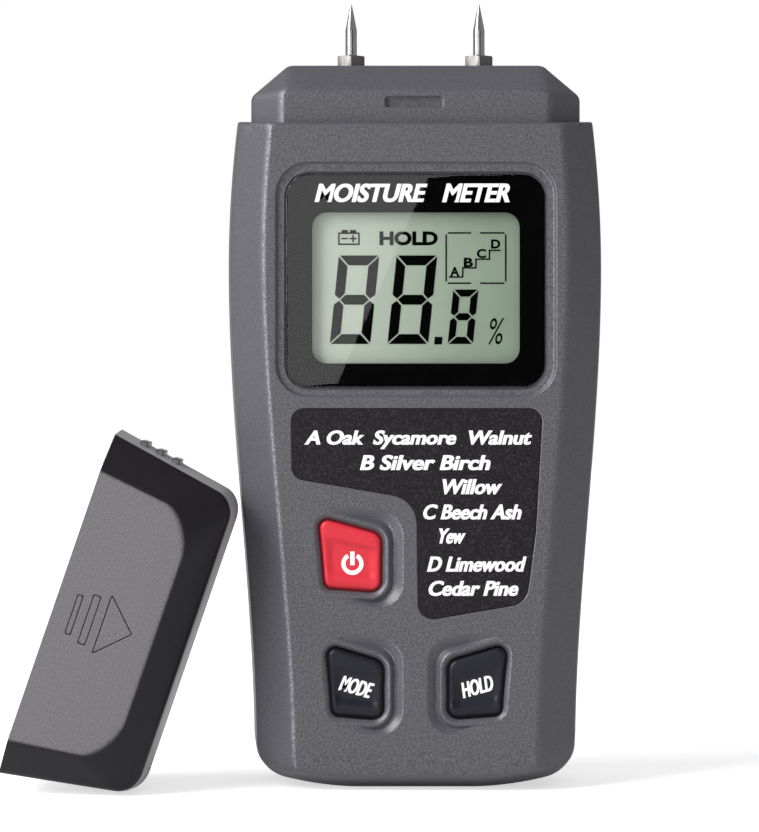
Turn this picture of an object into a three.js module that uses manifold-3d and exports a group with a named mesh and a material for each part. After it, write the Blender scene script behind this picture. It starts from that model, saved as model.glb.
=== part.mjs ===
// Two-pin moisture meter, standing on its foot, with its pin cap off and leaning on its left side.
// Millimetres, +Z up, front face towards -Y. The origin is the centre of the foot on the floor.
import * as THREE from "three";
import { mergeVertices } from "three/addons/utils/BufferGeometryUtils.js";
import Module from "manifold-3d";

const wasm = await Module();
wasm.setup();

// Driving dimensions.
const FRONT_Y = -16;
const REAR_Y = 17;
const PARTING_Y = 1.5;
const WALL = 2.2;
const GAP = 0.3;
const SHOULDER_Z = 137.8;
const SHOULDER_DROP = 2;
const FOOT_HALF = 12;
const FOOT_DEPTH = 8;
const BOTTOM_DRAFT = 3.4;
const LOW_HALF_WIDTH = 33.5;
const MAX_HALF_WIDTH = 38.9;
const TOP_HALF_WIDTH = 37;
const WIDEST_Z = 107;
const SIDE_DRAFT = 1;
const BEVEL_Y = 5.5;
const REAR_BEVEL = { x: 5, y: 4 };

const HEAD = { half: 33.8, front: -13, rear: 14, flat: 27.4, bevelY: 5, top: 148.5, bevelZ: 143, seat: 131 };
const PIN = { x: 13.3, r: 1.2, hex: 5.6, hexTop: 151.2, shaftTop: 156.9, tip: 162.15, stemR: 1.5 };
const SOCKET = { r: 2.6, bore: 1.85, low: 136, high: 146 };

const WINDOW = { half: 26.4, low: 82, high: 125.7, corner: 4.8, rim: 1.8, sunk: 0.7, thick: 1.2 };
const APERTURE = { half: 22.2, low: 86.3, high: 118.9, corner: 3 };
const LCD = { half: 24.2, low: 84.3, high: 120.8, front: -12.4, rear: -10.7 };
const BOARD = { half: 24, low: 11, high: 130, front: -9.1, rear: -7.5 };
const BOARD_SCREWS = [[-21.5, 35], [21.5, 35], [-21.5, 126], [21.5, 126]];
const CASE_SCREWS = [[-23.6, 14], [23.6, 14], [-28.6, 126], [28.6, 126]];

const BUTTON = { front: -16.3, flange: -13.5, back: -12.7, stem: -11.6, clearance: 0.45, bezel: 1.5 };
const DOME = { front: -11.35, top: 3, base: 4.2 };

const BATTERY = { half: 13.25, front: -2.4, rear: 14.4, low: 10.4, high: 56.8, stud: 6.35 };
const BAY = { half: 14.4, wall: 1.5, low: 10, high: 66 };
const DOOR = { half: 18.3, high: 69, front: 15, rear: 16.6, hingeY: 15.4, hingeZ: 6.3, barrel: 1.1, pin: 0.8, shoulder: 2.6, swing: 0.8,
  frame: 20.3 };

const CAP = { half: 36.9, topHalf: 32.6, high: 28.1, lip: 0.4, wall: 2, panelHigh: 20.9, mouthX: -72.1, y: -12 };
const CAP_TILT = THREE.MathUtils.degToRad(108.97);

const GREY = { color: 0x55565c, roughness: 0.62, metalness: 0 };
const DARK_GREY = { color: 0x34333a, roughness: 0.5, metalness: 0 };
const BLACK = { color: 0x17161a, roughness: 0.55, metalness: 0 };
const GLOSS_BLACK = { color: 0x08080a, roughness: 0.08, metalness: 0 };
const RED = { color: 0xd81830, roughness: 0.4, metalness: 0 };
const STEEL = { color: 0xb9babd, roughness: 0.25, metalness: 1 };
const BRASS = { color: 0xb68d40, roughness: 0.35, metalness: 1 };
const BOARD_GREEN = { color: 0x1d5a35, roughness: 0.5, metalness: 0 };
const LCD_GREEN = { color: 0x8f9c8c, roughness: 0.3, metalness: 0 };
const SILICONE = { color: 0xa9a9a4, roughness: 0.8, metalness: 0 };

// Solids: closed three.js geometry to and from manifold-3d.
function solid(geometry) {
  const bare = geometry.index ? geometry.toNonIndexed() : geometry.clone();
  bare.deleteAttribute("normal");
  bare.deleteAttribute("uv");
  const merged = mergeVertices(bare, 1e-4);
  const vertProperties = new Float32Array(merged.attributes.position.array);
  const triVerts = new Uint32Array(merged.index.array);
  return new wasm.Manifold(new wasm.Mesh({ numProp: 3, vertProperties, triVerts }));
}

function geometryOf(manifold) {
  const mesh = manifold.getMesh();
  const geometry = new THREE.BufferGeometry();
  geometry.setAttribute("position", new THREE.BufferAttribute(new Float32Array(mesh.vertProperties), 3));
  geometry.setIndex(new THREE.BufferAttribute(new Uint32Array(mesh.triVerts), 1));
  return geometry;
}

function block(x0, x1, y0, y1, z0, z1) {
  const box = new THREE.BoxGeometry(x1 - x0, y1 - y0, z1 - z0);
  box.translate((x0 + x1) / 2, (y0 + y1) / 2, (z0 + z1) / 2);
  return solid(box);
}

function rodY(x, z, radius, y0, y1, sides = 16) {
  const rod = new THREE.CylinderGeometry(radius, radius, y1 - y0, sides);
  rod.translate(x, (y0 + y1) / 2, z);
  return solid(rod);
}

function rodX(y, z, radius, x0, x1, sides = 16) {
  const rod = new THREE.CylinderGeometry(radius, radius, x1 - x0, sides);
  rod.rotateZ(Math.PI / 2);
  rod.translate((x0 + x1) / 2, y, z);
  return solid(rod);
}

function rodZ(x, y, radius, z0, z1, sides = 16) {
  const rod = new THREE.CylinderGeometry(radius, radius, z1 - z0, sides);
  rod.rotateX(Math.PI / 2);
  rod.translate(x, y, (z0 + z1) / 2);
  return solid(rod);
}

// A flat outline drawn in X and Z, extruded from y0 to y1.
function plate(shape, y0, y1, curveSegments = 4) {
  const slab = new THREE.ExtrudeGeometry(shape, { depth: y1 - y0, bevelEnabled: false, curveSegments });
  slab.rotateX(Math.PI / 2);
  slab.translate(0, y1, 0);
  return solid(slab);
}

// A polygon with each corner cut back by its own radius and rounded.
function roundedShape(corners) {
  const shape = new THREE.Shape();
  corners.forEach(([x, z, radius], i) => {
    const corner = new THREE.Vector2(x, z);
    const before = new THREE.Vector2(...corners[(i + corners.length - 1) % corners.length]);
    const after = new THREE.Vector2(...corners[(i + 1) % corners.length]);
    const start = before.sub(corner).setLength(radius).add(corner);
    const end = after.sub(corner).setLength(radius).add(corner);
    if (i === 0) shape.moveTo(start.x, start.y);
    else shape.lineTo(start.x, start.y);
    shape.quadraticCurveTo(x, z, end.x, end.y);
  });
  shape.closePath();
  return shape;
}

function roundedBox(half, low, high, radius) {
  return roundedShape([[-half, low, radius], [half, low, radius], [half, high, radius], [-half, high, radius]]);
}

// A closed skin through rings of equal point count, with a flat cap on the first and last ring.
function loft(rings, flatten) {
  const count = rings[0].length;
  const points = rings.flat();
  const faces = [];
  for (let r = 0; r + 1 < rings.length; r += 1) {
    for (let i = 0; i < count; i += 1) {
      const a = r * count + i;
      const b = r * count + ((i + 1) % count);
      faces.push(a, b, b + count, a, b + count, a + count);
    }
  }
  const last = (rings.length - 1) * count;
  for (const [a, b, c] of THREE.ShapeUtils.triangulateShape(rings[0].map(flatten), [])) {
    faces.push(c, b, a);
  }
  for (const [a, b, c] of THREE.ShapeUtils.triangulateShape(rings.at(-1).map(flatten), [])) {
    faces.push(last + a, last + b, last + c);
  }
  const geometry = new THREE.BufferGeometry().setFromPoints(points);
  geometry.setIndex(signedVolume(points, faces) < 0 ? faces.reverse() : faces);
  return solid(geometry);
}

function signedVolume(points, faces) {
  let volume = 0;
  for (let i = 0; i < faces.length; i += 3) {
    const [a, b, c] = [points[faces[i]], points[faces[i + 1]], points[faces[i + 2]]];
    volume += a.dot(b.clone().cross(c));
  }
  return volume;
}

const onXY = (point) => new THREE.Vector2(point.x, point.y);
const onXZ = (point) => new THREE.Vector2(point.x, point.z);

// A right-hand half outline given as [x, y] pairs, closed by its mirror image.
function mirrored(half) {
  return [...half, ...half.toReversed().map(([x, y]) => [-x, y])];
}

// The body: half-width at the parting line, by height.
function halfWidth(z) {
  if (z > WIDEST_Z) {
    const t = (z - WIDEST_Z) / (SHOULDER_Z - WIDEST_Z);
    return MAX_HALF_WIDTH - (MAX_HALF_WIDTH - TOP_HALF_WIDTH) * t * t;
  }
  return LOW_HALF_WIDTH + (MAX_HALF_WIDTH - LOW_HALF_WIDTH) * THREE.MathUtils.smoothstep(z, 5, WIDEST_Z);
}

// The flat front panel is narrower than the body by the width of its side bevels.
const panelInset = (z) => 8.7 - 0.0075 * z;

function bodySection(z, inset) {
  const width = halfWidth(z) - inset;
  const panel = halfWidth(z) - panelInset(z) - 0.5 * inset;
  const shelf = 0.35 * inset;
  return mirrored([
    [panel, FRONT_Y + inset],
    [width - SIDE_DRAFT, FRONT_Y + BEVEL_Y + shelf],
    [width, PARTING_Y],
    [width - SIDE_DRAFT, REAR_Y - REAR_BEVEL.y - shelf],
    [halfWidth(z) - REAR_BEVEL.x - 0.5 * inset, REAR_Y - inset],
  ]);
}

// The end shape seen from the front: flat foot, shallow arc, rounded corners and straight shoulder.
function endOutline(rise, drop) {
  const shape = new THREE.Shape();
  shape.moveTo(FOOT_HALF, rise);
  shape.quadraticCurveTo(19, rise + 0.1, 26.5, rise + 1.9);
  shape.quadraticCurveTo(31.6, rise + 3, 33.9, rise + 10);
  shape.lineTo(45, rise + 30);
  shape.lineTo(45, SHOULDER_Z - drop);
  return mirrored(shape.getPoints(4).map((point) => [point.x, point.y]));
}

function bodyForm(inset) {
  const heights = [-2, 5, 20, 35, 50, 65, 80, 95, 107, 118, 128, 140];
  const across = loft(
    heights.map((z) => bodySection(z, inset).map(([x, y]) => new THREE.Vector3(x, y, z))),
    onXY,
  );
  const levels = [
    [FRONT_Y - 1, BOTTOM_DRAFT, SHOULDER_DROP],
    [PARTING_Y - FOOT_DEPTH, 0, SHOULDER_DROP * 0.4],
    [PARTING_Y, 0, 0],
    [PARTING_Y + FOOT_DEPTH, 0, SHOULDER_DROP * 0.4],
    [REAR_Y + 1, BOTTOM_DRAFT, SHOULDER_DROP],
  ];
  const along = loft(
    levels.map(([y, rise, drop]) =>
      endOutline(rise + inset, drop + inset).map(([x, z]) => new THREE.Vector3(x, y, z))),
    onXZ,
  );
  return across.intersect(along);
}

// The head block that carries the pins: chamfered box, narrower than the body.
function headSection(grow) {
  return mirrored([
    [HEAD.flat + grow, HEAD.front - grow],
    [HEAD.half + grow, HEAD.front + HEAD.bevelY - grow / 2],
    [HEAD.half + grow, HEAD.rear - HEAD.bevelY + grow / 2],
    [HEAD.flat + grow, HEAD.rear + grow],
  ]);
}

function headPrism(grow, z0, z1) {
  return loft([z0, z1].map((z) => headSection(grow).map(([x, y]) => new THREE.Vector3(x, y, z))), onXY);
}

function headTop(inset) {
  const front = mirrored([[HEAD.flat, HEAD.seat], [HEAD.flat, HEAD.bevelZ - 1], [HEAD.flat - 0.5, HEAD.bevelZ]]);
  const middle = mirrored([[HEAD.half, HEAD.seat], [HEAD.half, 142], [26.4, HEAD.top]]);
  const shrink = ([x, z]) => [x - Math.sign(x) * inset, z > HEAD.seat ? z - inset : z - 1];
  const rings = [
    [HEAD.front + inset, front],
    [HEAD.front + HEAD.bevelY + inset / 2, middle],
    [HEAD.rear - HEAD.bevelY - inset / 2, middle],
    [HEAD.rear - inset, front],
  ];
  return loft(rings.map(([y, ring]) =>
    (inset > 0 ? ring.map(shrink) : ring).map(([x, z]) => new THREE.Vector3(x, y, z))), onXZ);
}

function electrodeHead() {
  let head = headTop(0).add(headPrism(0.6, HEAD.seat, HEAD.seat + 2.2).intersect(
    block(-40, 40, HEAD.front - 0.5, HEAD.rear + 0.6, HEAD.seat, HEAD.seat + 2.2)));
  head = head.subtract(headTop(WALL));
  for (const x of [-PIN.x, PIN.x]) {
    head = head.add(rodZ(x, 0, 4.4, SOCKET.low - 1, HEAD.top - 1, 20));
    head = head.subtract(rodZ(x, 0, SOCKET.r + GAP, SOCKET.low - 2, SOCKET.high + GAP));
    head = head.subtract(rodZ(x, 0, PIN.stemR + GAP, SOCKET.low, HEAD.top + 1));
  }
  return head.subtract(block(-6.2, 5.6, HEAD.front - 1, HEAD.front + 0.9, 139.4, 141.5));
}

// A button face: a slanted, rounded four-sided outline about its own centre.
const BUTTONS = {
  power: { x: -13.2, z: 48.2, width: 1, side: 1 },
  mode: { x: -12.2, z: 22.3, width: 0.9, side: 1 },
  hold: { x: 12.3, z: 22.4, width: 0.94, side: -1 },
};

function buttonShape({ x, z, width, side }, grow) {
  const place = ([dx, dz, radius]) => [x + side * dx, z + dz, radius];
  const corners = [
    [-5.1 * width - grow, -6.6 - grow, 1.5 + grow],
    [6 * width + grow, -7.4 - grow, 2.2 + grow],
    [6 * width + grow, 4.1 + grow, 2.2 + grow],
    [-6.4 * width - grow, 7.5 + grow, 1.5 + grow],
  ].map(place);
  return roundedShape(side > 0 ? corners : corners.reverse());
}

// The shallow well around a button is wider on the side towards the middle of the meter.
function wellShape({ x, z, width, side }) {
  const place = ([dx, dz, radius]) => [x + side * dx, z + dz, radius];
  const corners = [
    [-6.8 * width, -9.6, 2.5],
    [10.8 * width, -11.3, 5],
    [10.8 * width, 8.4, 5],
    [-8 * width, 11.2, 2.5],
  ].map(place);
  return roundedShape(side > 0 ? corners : corners.reverse());
}

function button(spot) {
  return plate(buttonShape(spot, 0), BUTTON.front, BUTTON.flange)
    .add(plate(buttonShape(spot, 1.3), BUTTON.flange, BUTTON.back))
    .add(rodY(spot.x, spot.z, 3, BUTTON.back - 0.2, BUTTON.stem));
}

function dome(spot) {
  const skirt = new THREE.CylinderGeometry(DOME.base, DOME.top, BOARD.front - 0.2 - DOME.front, 20);
  skirt.translate(spot.x, (BOARD.front - 0.2 + DOME.front) / 2, spot.z);
  return solid(skirt);
}

// The printed label wraps above and beside the power button's well.
function labelShape(grow) {
  return roundedShape([
    [-25 - grow, 63.9 - grow, 2.5],
    [0.3 - grow, 59.6 - grow, 6],
    [0.6 - grow, 34.8 - grow, 3],
    [22.3 + grow, 38.5 - grow, 4],
    [24.2 + grow, 53, 1],
    [25.6 + grow, 77.8 + grow, 2.5],
    [-25.2 - grow, 77.8 + grow, 2.5],
  ]);
}

function frontHousing() {
  const outer = bodyForm(0).intersect(block(-50, 50, -30, PARTING_Y - GAP / 2, -5, 150));
  const display = plate(roundedBox(WINDOW.half + WINDOW.rim, 80, 127.6, 5), -14.5, LCD.front - 0.2);
  let posts = display;
  for (const [x, z] of BOARD_SCREWS) posts = posts.add(rodY(x, z, 2.4, -14.5, BOARD.front - GAP, 12));
  for (const [x, z] of CASE_SCREWS) posts = posts.add(rodY(x, z, 3, -15.5, PARTING_Y - GAP / 2));
  let housing = outer.subtract(bodyForm(WALL)).add(posts.intersect(outer));
  housing = housing.subtract(headPrism(GAP, HEAD.seat, SHOULDER_Z + 3));
  const rim = roundedBox(WINDOW.half + WINDOW.rim, WINDOW.low - WINDOW.rim, WINDOW.high + WINDOW.rim, 6);
  const seat = roundedBox(WINDOW.half + GAP, WINDOW.low - GAP, WINDOW.high + GAP, WINDOW.corner);
  const aperture = roundedBox(APERTURE.half, APERTURE.low, APERTURE.high, APERTURE.corner);
  housing = housing.subtract(plate(rim, FRONT_Y - 1, FRONT_Y + WINDOW.sunk));
  housing = housing.subtract(plate(seat, FRONT_Y - 1, FRONT_Y + WINDOW.sunk + WINDOW.thick + 0.2));
  housing = housing.subtract(plate(aperture, FRONT_Y - 1, 0));
  housing = housing.subtract(plate(labelShape(0.2), FRONT_Y - 1, FRONT_Y + 0.8));
  for (const spot of Object.values(BUTTONS)) {
    housing = housing.subtract(plate(wellShape(spot), FRONT_Y - 1, FRONT_Y + 1));
    housing = housing.add(plate(buttonShape(spot, BUTTON.bezel), FRONT_Y + 0.4, FRONT_Y + 1.2));
    housing = housing.subtract(plate(buttonShape(spot, BUTTON.clearance), FRONT_Y - 1, 0));
  }
  for (const [x, z] of BOARD_SCREWS) housing = housing.subtract(rodY(x, z, 1.2, -13.4, 0, 12));
  for (const [x, z] of CASE_SCREWS) housing = housing.subtract(rodY(x, z, 1.6, -11, 5, 12));
  return housing;
}

function rearHousing() {
  const outer = bodyForm(0).intersect(block(-50, 50, PARTING_Y + GAP / 2, 30, -5, 150));
  const bayOuter = block(-BAY.half - BAY.wall, BAY.half + BAY.wall, BATTERY.front - 1.8, DOOR.front - GAP,
    BAY.low - BAY.wall, BAY.high + BAY.wall);
  const bayInner = block(-BAY.half, BAY.half, BATTERY.front - 0.3, 30, BAY.low, BAY.high);
  let housing = outer.subtract(bodyForm(WALL));
  for (const [x, z] of CASE_SCREWS) housing = housing.add(rodY(x, z, 4.4, PARTING_Y + GAP / 2, 16.5).intersect(outer));
  housing = housing.add(bayOuter.intersect(bodyForm(0)));
  housing = housing.add(block(-DOOR.frame, DOOR.frame, 12.6, 16.5, 4, DOOR.high + 6.5).intersect(outer));
  housing = housing.subtract(headPrism(GAP, HEAD.seat, SHOULDER_Z + 3));
  housing = housing.subtract(block(-DOOR.half - GAP, DOOR.half + GAP, DOOR.front - GAP, 30,
    DOOR.hingeZ + DOOR.shoulder - DOOR.swing, DOOR.high + GAP));
  housing = housing.subtract(bayInner);
  housing = housing.subtract(block(-BAY.half, BAY.half, DOOR.hingeY - DOOR.barrel - GAP, 30,
    DOOR.hingeZ - DOOR.barrel - GAP, DOOR.hingeZ + DOOR.shoulder));
  housing = housing.subtract(rodX(DOOR.hingeY, DOOR.hingeZ, DOOR.pin + GAP, -BAY.half - 2, BAY.half + 2, 12));
  housing = housing.subtract(block(-7, 7, BATTERY.front - 2.5, BATTERY.front, 60.5, BAY.high));
  housing = housing.subtract(block(-6, 6, DOOR.front - 1.5, 30, DOOR.high - 1, DOOR.high + 4.5));
  for (const [x, z] of CASE_SCREWS) {
    housing = housing.subtract(rodY(x, z, 1.7, -1, 12));
    housing = housing.subtract(rodY(x, z, 3.1, 8.7, 20));
  }
  return housing;
}

function batteryDoor() {
  const low = DOOR.hingeZ;
  let door = block(-DOOR.half, DOOR.half, DOOR.front, DOOR.rear, low + DOOR.shoulder, DOOR.high);
  door = door.add(block(-BAY.half + GAP, BAY.half - GAP, DOOR.front, DOOR.rear, low, low + DOOR.shoulder + GAP));
  door = door.add(rodX(DOOR.hingeY, low, DOOR.barrel, -BAY.half + GAP, BAY.half - GAP, 20));
  door = door.add(rodX(DOOR.hingeY, low, DOOR.pin, -BAY.half - 1.6, BAY.half + 1.6, 12));
  door = door.add(block(-5, 5, DOOR.front - 1.2, DOOR.rear, DOOR.high - 0.6, DOOR.high + 1));
  for (let i = 0; i < 5; i += 1) {
    door = door.add(block(-7, 7, DOOR.rear - 0.2, DOOR.rear + 0.4, 57 + 2 * i, 58 + 2 * i));
  }
  return door;
}

// An electrode: hex base, round shaft and ground point above the head, threaded stem inside it.
function electrodePin(x) {
  const stem = SOCKET.low + 1.5;
  const profile = [
    [0, stem], [PIN.stemR, stem + 0.4], [PIN.stemR, HEAD.top + 0.4], [PIN.r, HEAD.top + 0.6],
    [PIN.r, PIN.shaftTop], [0.16, PIN.tip - 0.1], [0, PIN.tip],
  ].map(([r, z]) => new THREE.Vector2(r, z));
  const spindle = new THREE.LatheGeometry(profile, 16);
  spindle.rotateX(Math.PI / 2);
  const hex = new THREE.CylinderGeometry(PIN.hex / Math.sqrt(3), PIN.hex / Math.sqrt(3), 2.4, 6);
  hex.rotateX(Math.PI / 2);
  hex.translate(0, 0, PIN.hexTop - 1.2);
  return solid(spindle).add(solid(hex)).translate([x, 0, 0]);
}

function pinSocket(x) {
  return rodZ(x, 0, SOCKET.r, SOCKET.low, SOCKET.high)
    .subtract(rodZ(x, 0, SOCKET.bore, SOCKET.low + 0.8, SOCKET.high + 1));
}

function screw(x, z, headRadius, headY, headHeight, shankRadius, tipY) {
  const head = rodY(x, z, headRadius, headY, headY + headHeight, 16);
  const shank = rodY(x, z, shankRadius, tipY, headY + 0.2, 12);
  const slots = block(x - 0.3, x + 0.3, headY + headHeight - 0.7, headY + headHeight + 1, z - 1.4, z + 1.4)
    .add(block(x - 1.4, x + 1.4, headY + headHeight - 0.7, headY + headHeight + 1, z - 0.3, z + 0.3));
  return head.add(shank).subtract(slots);
}

function mainBoard() {
  let board = block(-BOARD.half, BOARD.half, BOARD.front, BOARD.rear, BOARD.low, BOARD.high);
  for (const [x, z] of BOARD_SCREWS) board = board.subtract(rodY(x, z, 1.25, -12, 0, 12));
  for (const side of [-1, 1]) {
    board = board.subtract(block(side * 25 - 4.5, side * 25 + 4.5, -12, 0, 5, 18.5));
  }
  return board;
}

function lead(radius, points, steps) {
  const section = new THREE.Shape().absarc(0, 0, radius, 0, 2 * Math.PI);
  const extrudePath = new THREE.CatmullRomCurve3(points.map((point) => new THREE.Vector3(...point)));
  return new THREE.ExtrudeGeometry(section, { steps, extrudePath, bevelEnabled: false, curveSegments: 4 });
}

// The cap in its fitted attitude: mouth down at z = 0, the same section as the body's top end.
function capHalf(z) {
  return CAP.half - (CAP.half - CAP.topHalf) * (z / (CAP.high - 3.6));
}

function capSection(z, inset) {
  const straight = inset > 0 ? Math.max(capHalf(z) - inset, z < 5.5 ? HEAD.half + 0.35 : 0) : capHalf(z);
  return mirrored([
    [straight - 8.4 + 0.05 * Math.max(z, 0), FRONT_Y + inset],
    [straight - SIDE_DRAFT, FRONT_Y + BEVEL_Y + 0.35 * inset],
    [straight, PARTING_Y],
    [straight - SIDE_DRAFT, REAR_Y - REAR_BEVEL.y - 0.35 * inset],
    [straight - REAR_BEVEL.x, REAR_Y - inset],
  ]);
}

function capOutline(lip, high, corner) {
  const shape = new THREE.Shape();
  shape.moveTo(45, -lip);
  shape.lineTo(45, high - 12);
  shape.lineTo(CAP.topHalf + 0.2, high - corner);
  shape.quadraticCurveTo(CAP.topHalf - 0.6, high, CAP.topHalf - corner, high);
  return mirrored(shape.getPoints(4).map((point) => [point.x, point.y]));
}

function capForm(inset) {
  const heights = inset > 0 ? [-6, 5.4, 5.6, 12, 20, 32] : [-6, 0, 12, 24, 32];
  const across = loft(heights.map((z) => capSection(z, inset).map(([x, y]) => new THREE.Vector3(x, y, z))), onXY);
  const front = FRONT_Y + inset;
  const rear = REAR_Y - inset;
  const levels = [
    [front - 0.5, CAP.lip, CAP.panelHigh, 5],
    [front + 4, CAP.lip * 0.7, CAP.high - 3.4, 4],
    [front + 8, CAP.lip * 0.4, CAP.high - 0.6, 3.6],
    [PARTING_Y, 0, CAP.high, 3.6],
    [rear - 8, CAP.lip * 0.4, CAP.high - 0.6, 3.6],
    [rear - 4, CAP.lip * 0.7, CAP.high - 3.4, 4],
    [rear + 0.5, CAP.lip, CAP.panelHigh, 5],
  ];
  const along = loft(levels.map(([y, lip, high, corner]) =>
    capOutline(inset > 0 ? 10 : lip, high - inset, corner).map(([x, z]) => new THREE.Vector3(x, y, z))), onXZ);
  return across.intersect(along);
}

function capShell() {
  let cap = capForm(0).subtract(capForm(CAP.wall));
  for (let i = 0; i < 3; i += 1) {
    const z = 5.7 + 3.6 * i;
    cap = cap.add(block(-capHalf(z) - 0.5, -capHalf(z) + 0.6, -5, 5, z - 0.85, z + 0.85));
  }
  const bump = block(-5.2, 4.6, FRONT_Y + CAP.wall - 0.5, HEAD.front + 0.2, 2.2, 3.1);
  return cap.add(bump);
}

const meter = new THREE.Group();

function addPiece(name, shape, look, parent = meter) {
  const geometry = shape.isBufferGeometry ? shape : geometryOf(shape);
  const mesh = new THREE.Mesh(geometry, new THREE.MeshStandardMaterial(look));
  mesh.name = name;
  parent.add(mesh);
}

addPiece("front_housing", frontHousing(), GREY);
addPiece("rear_housing", rearHousing(), GREY);
addPiece("electrode_head", electrodeHead(), GREY);
addPiece("battery_door", batteryDoor(), GREY);

const lensFront = FRONT_Y + WINDOW.sunk - 0.05;
addPiece("window_lens", plate(roundedBox(WINDOW.half, WINDOW.low, WINDOW.high, WINDOW.corner),
  lensFront, lensFront + WINDOW.thick), GLOSS_BLACK);
addPiece("lcd_glass", block(-LCD.half, LCD.half, LCD.front, LCD.rear, LCD.low, LCD.high), LCD_GREEN);
addPiece("lcd_reflector", block(-LCD.half + 1, LCD.half - 1, LCD.rear + 0.1, LCD.rear + 0.4, 87, 118), STEEL);
addPiece("lcd_frame", block(-26.4, 26.4, LCD.front, BOARD.front - 0.2, 81.6, 123.3)
  .subtract(block(-24.5, 24.5, -20, 0, 84, 121.1)), BLACK);
addPiece("lcd_contact_upper", block(-21, 21, LCD.rear + 0.2, BOARD.front - 0.2, 118.6, 120.6), SILICONE);
addPiece("lcd_contact_lower", block(-21, 21, LCD.rear + 0.2, BOARD.front - 0.2, 84.5, 86.5), SILICONE);
addPiece("label_plate", plate(labelShape(0), FRONT_Y - 0.05, FRONT_Y + 0.5), BLACK);

for (const [name, spot] of Object.entries(BUTTONS)) {
  addPiece(`${name}_button`, button(spot), name === "power" ? RED : DARK_GREY);
  addPiece(`${name}_dome`, dome(spot), SILICONE);
}

addPiece("main_board", mainBoard(), BOARD_GREEN);
addPiece("controller_chip", block(-6, 6, BOARD.rear + 0.2, BOARD.rear + 1.8, 92, 104), BLACK);
addPiece("amplifier_chip", block(8, 13, BOARD.rear + 0.2, BOARD.rear + 1.9, 108, 112), BLACK);
addPiece("crystal_can", block(-13, -9.4, BOARD.rear + 0.2, BOARD.rear + 3.4, 90, 100.5), STEEL);
addPiece("filter_capacitor", rodY(15, 84, 3.1, BOARD.rear + 0.2, BOARD.rear + 8, 20), BLACK);
addPiece("calibration_trimmer", block(-17, -11, BOARD.rear + 0.2, BOARD.rear + 4.6, 108, 114), STEEL);

["lower_left", "lower_right", "upper_left", "upper_right"].forEach((corner, i) => {
  const [boardX, boardZ] = BOARD_SCREWS[i];
  addPiece(`board_screw_${corner}`, screw(boardX, boardZ, 2.2, BOARD.rear + 0.2, 1.4, 0.85, -12.8), STEEL);
  const [caseX, caseZ] = CASE_SCREWS[i];
  addPiece(`case_screw_${corner}`, screw(caseX, caseZ, 2.7, 9, 2, 1.25, -9.5), STEEL);
});

for (const [side, x] of [["left", -PIN.x], ["right", PIN.x]]) {
  addPiece(`electrode_pin_${side}`, electrodePin(x), STEEL);
  addPiece(`pin_socket_${side}`, pinSocket(x), BRASS);
  addPiece(`electrode_lead_${side}`, lead(0.6, [
    [x, 0, SOCKET.low - 0.3], [x, -0.6, 132], [x * 0.95, -3.4, 128.2], [x * 0.92, -6.9, 127.2],
  ], 10), BLACK);
}

addPiece("battery_case", block(-BATTERY.half, BATTERY.half, BATTERY.front, BATTERY.rear,
  BATTERY.low, BATTERY.high), DARK_GREY);
const batteryY = (BATTERY.front + BATTERY.rear) / 2;
addPiece("battery_positive_stud", rodZ(-BATTERY.stud, batteryY, 2.8, BATTERY.high + 0.2, 59), STEEL);
addPiece("battery_negative_stud", rodZ(BATTERY.stud, batteryY, 3.7, BATTERY.high + 0.2, 59, 6), STEEL);
addPiece("battery_clip", block(-12.5, 12.5, batteryY - 7, batteryY + 7, 59.3, 62), BLACK);
addPiece("battery_lead_red", lead(0.7, [
  [-3.2, batteryY, 62.4], [-3.2, batteryY, 63], [-3.2, batteryY - 3, 64.6], [-3.2, -1.5, 63.8],
  [-3.4, -5.2, 65.4], [-3.6, -6.4, 69],
], 16), RED);
addPiece("battery_lead_black", lead(0.7, [
  [3.2, batteryY, 62.4], [3.2, batteryY, 63], [3.2, batteryY - 3, 64.6], [3.2, -1.5, 63.8],
  [3.4, -5.2, 65.4], [3.6, -6.4, 69],
], 16), BLACK);

// The cap lies on its end: its closed top leans right and down on the meter, its mouth faces left.
const capGroup = new THREE.Group();
capGroup.rotation.y = CAP_TILT;
const cap = capShell();
const turned = geometryOf(cap);
turned.rotateY(CAP_TILT);
turned.computeBoundingBox();
capGroup.position.set(CAP.mouthX, CAP.y, -turned.boundingBox.min.z);
addPiece("cap_shell", cap, DARK_GREY, capGroup);
meter.add(capGroup);

export default meter;
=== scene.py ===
import math
import bmesh
import bpy
import numpy as np
from mathutils.geometry import delaunay_2d_cdt
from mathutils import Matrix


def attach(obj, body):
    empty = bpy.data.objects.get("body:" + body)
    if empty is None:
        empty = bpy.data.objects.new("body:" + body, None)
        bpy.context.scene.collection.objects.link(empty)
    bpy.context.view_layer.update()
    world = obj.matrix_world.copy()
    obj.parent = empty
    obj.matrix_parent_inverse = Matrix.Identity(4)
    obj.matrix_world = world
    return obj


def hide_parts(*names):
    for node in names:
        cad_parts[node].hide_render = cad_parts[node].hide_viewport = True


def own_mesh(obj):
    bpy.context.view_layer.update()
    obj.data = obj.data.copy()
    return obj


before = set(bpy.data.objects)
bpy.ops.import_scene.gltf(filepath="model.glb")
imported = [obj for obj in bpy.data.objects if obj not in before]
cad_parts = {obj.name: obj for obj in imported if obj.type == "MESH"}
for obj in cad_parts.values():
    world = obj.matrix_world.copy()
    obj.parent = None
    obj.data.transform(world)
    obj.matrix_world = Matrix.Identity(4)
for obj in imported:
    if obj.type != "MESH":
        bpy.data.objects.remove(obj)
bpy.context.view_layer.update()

# ---------------------------------------------------------------------------------------------
# Camera. Level with the middle of the meter and square to its front, 600 mm in front of the
# parting line, as for a catalogue picture.
# ---------------------------------------------------------------------------------------------
camera = bpy.data.objects.new("camera", bpy.data.cameras.new("camera"))
bpy.context.scene.collection.objects.link(camera)
camera.location = (-0.0074, -0.600, 0.0764)
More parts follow.
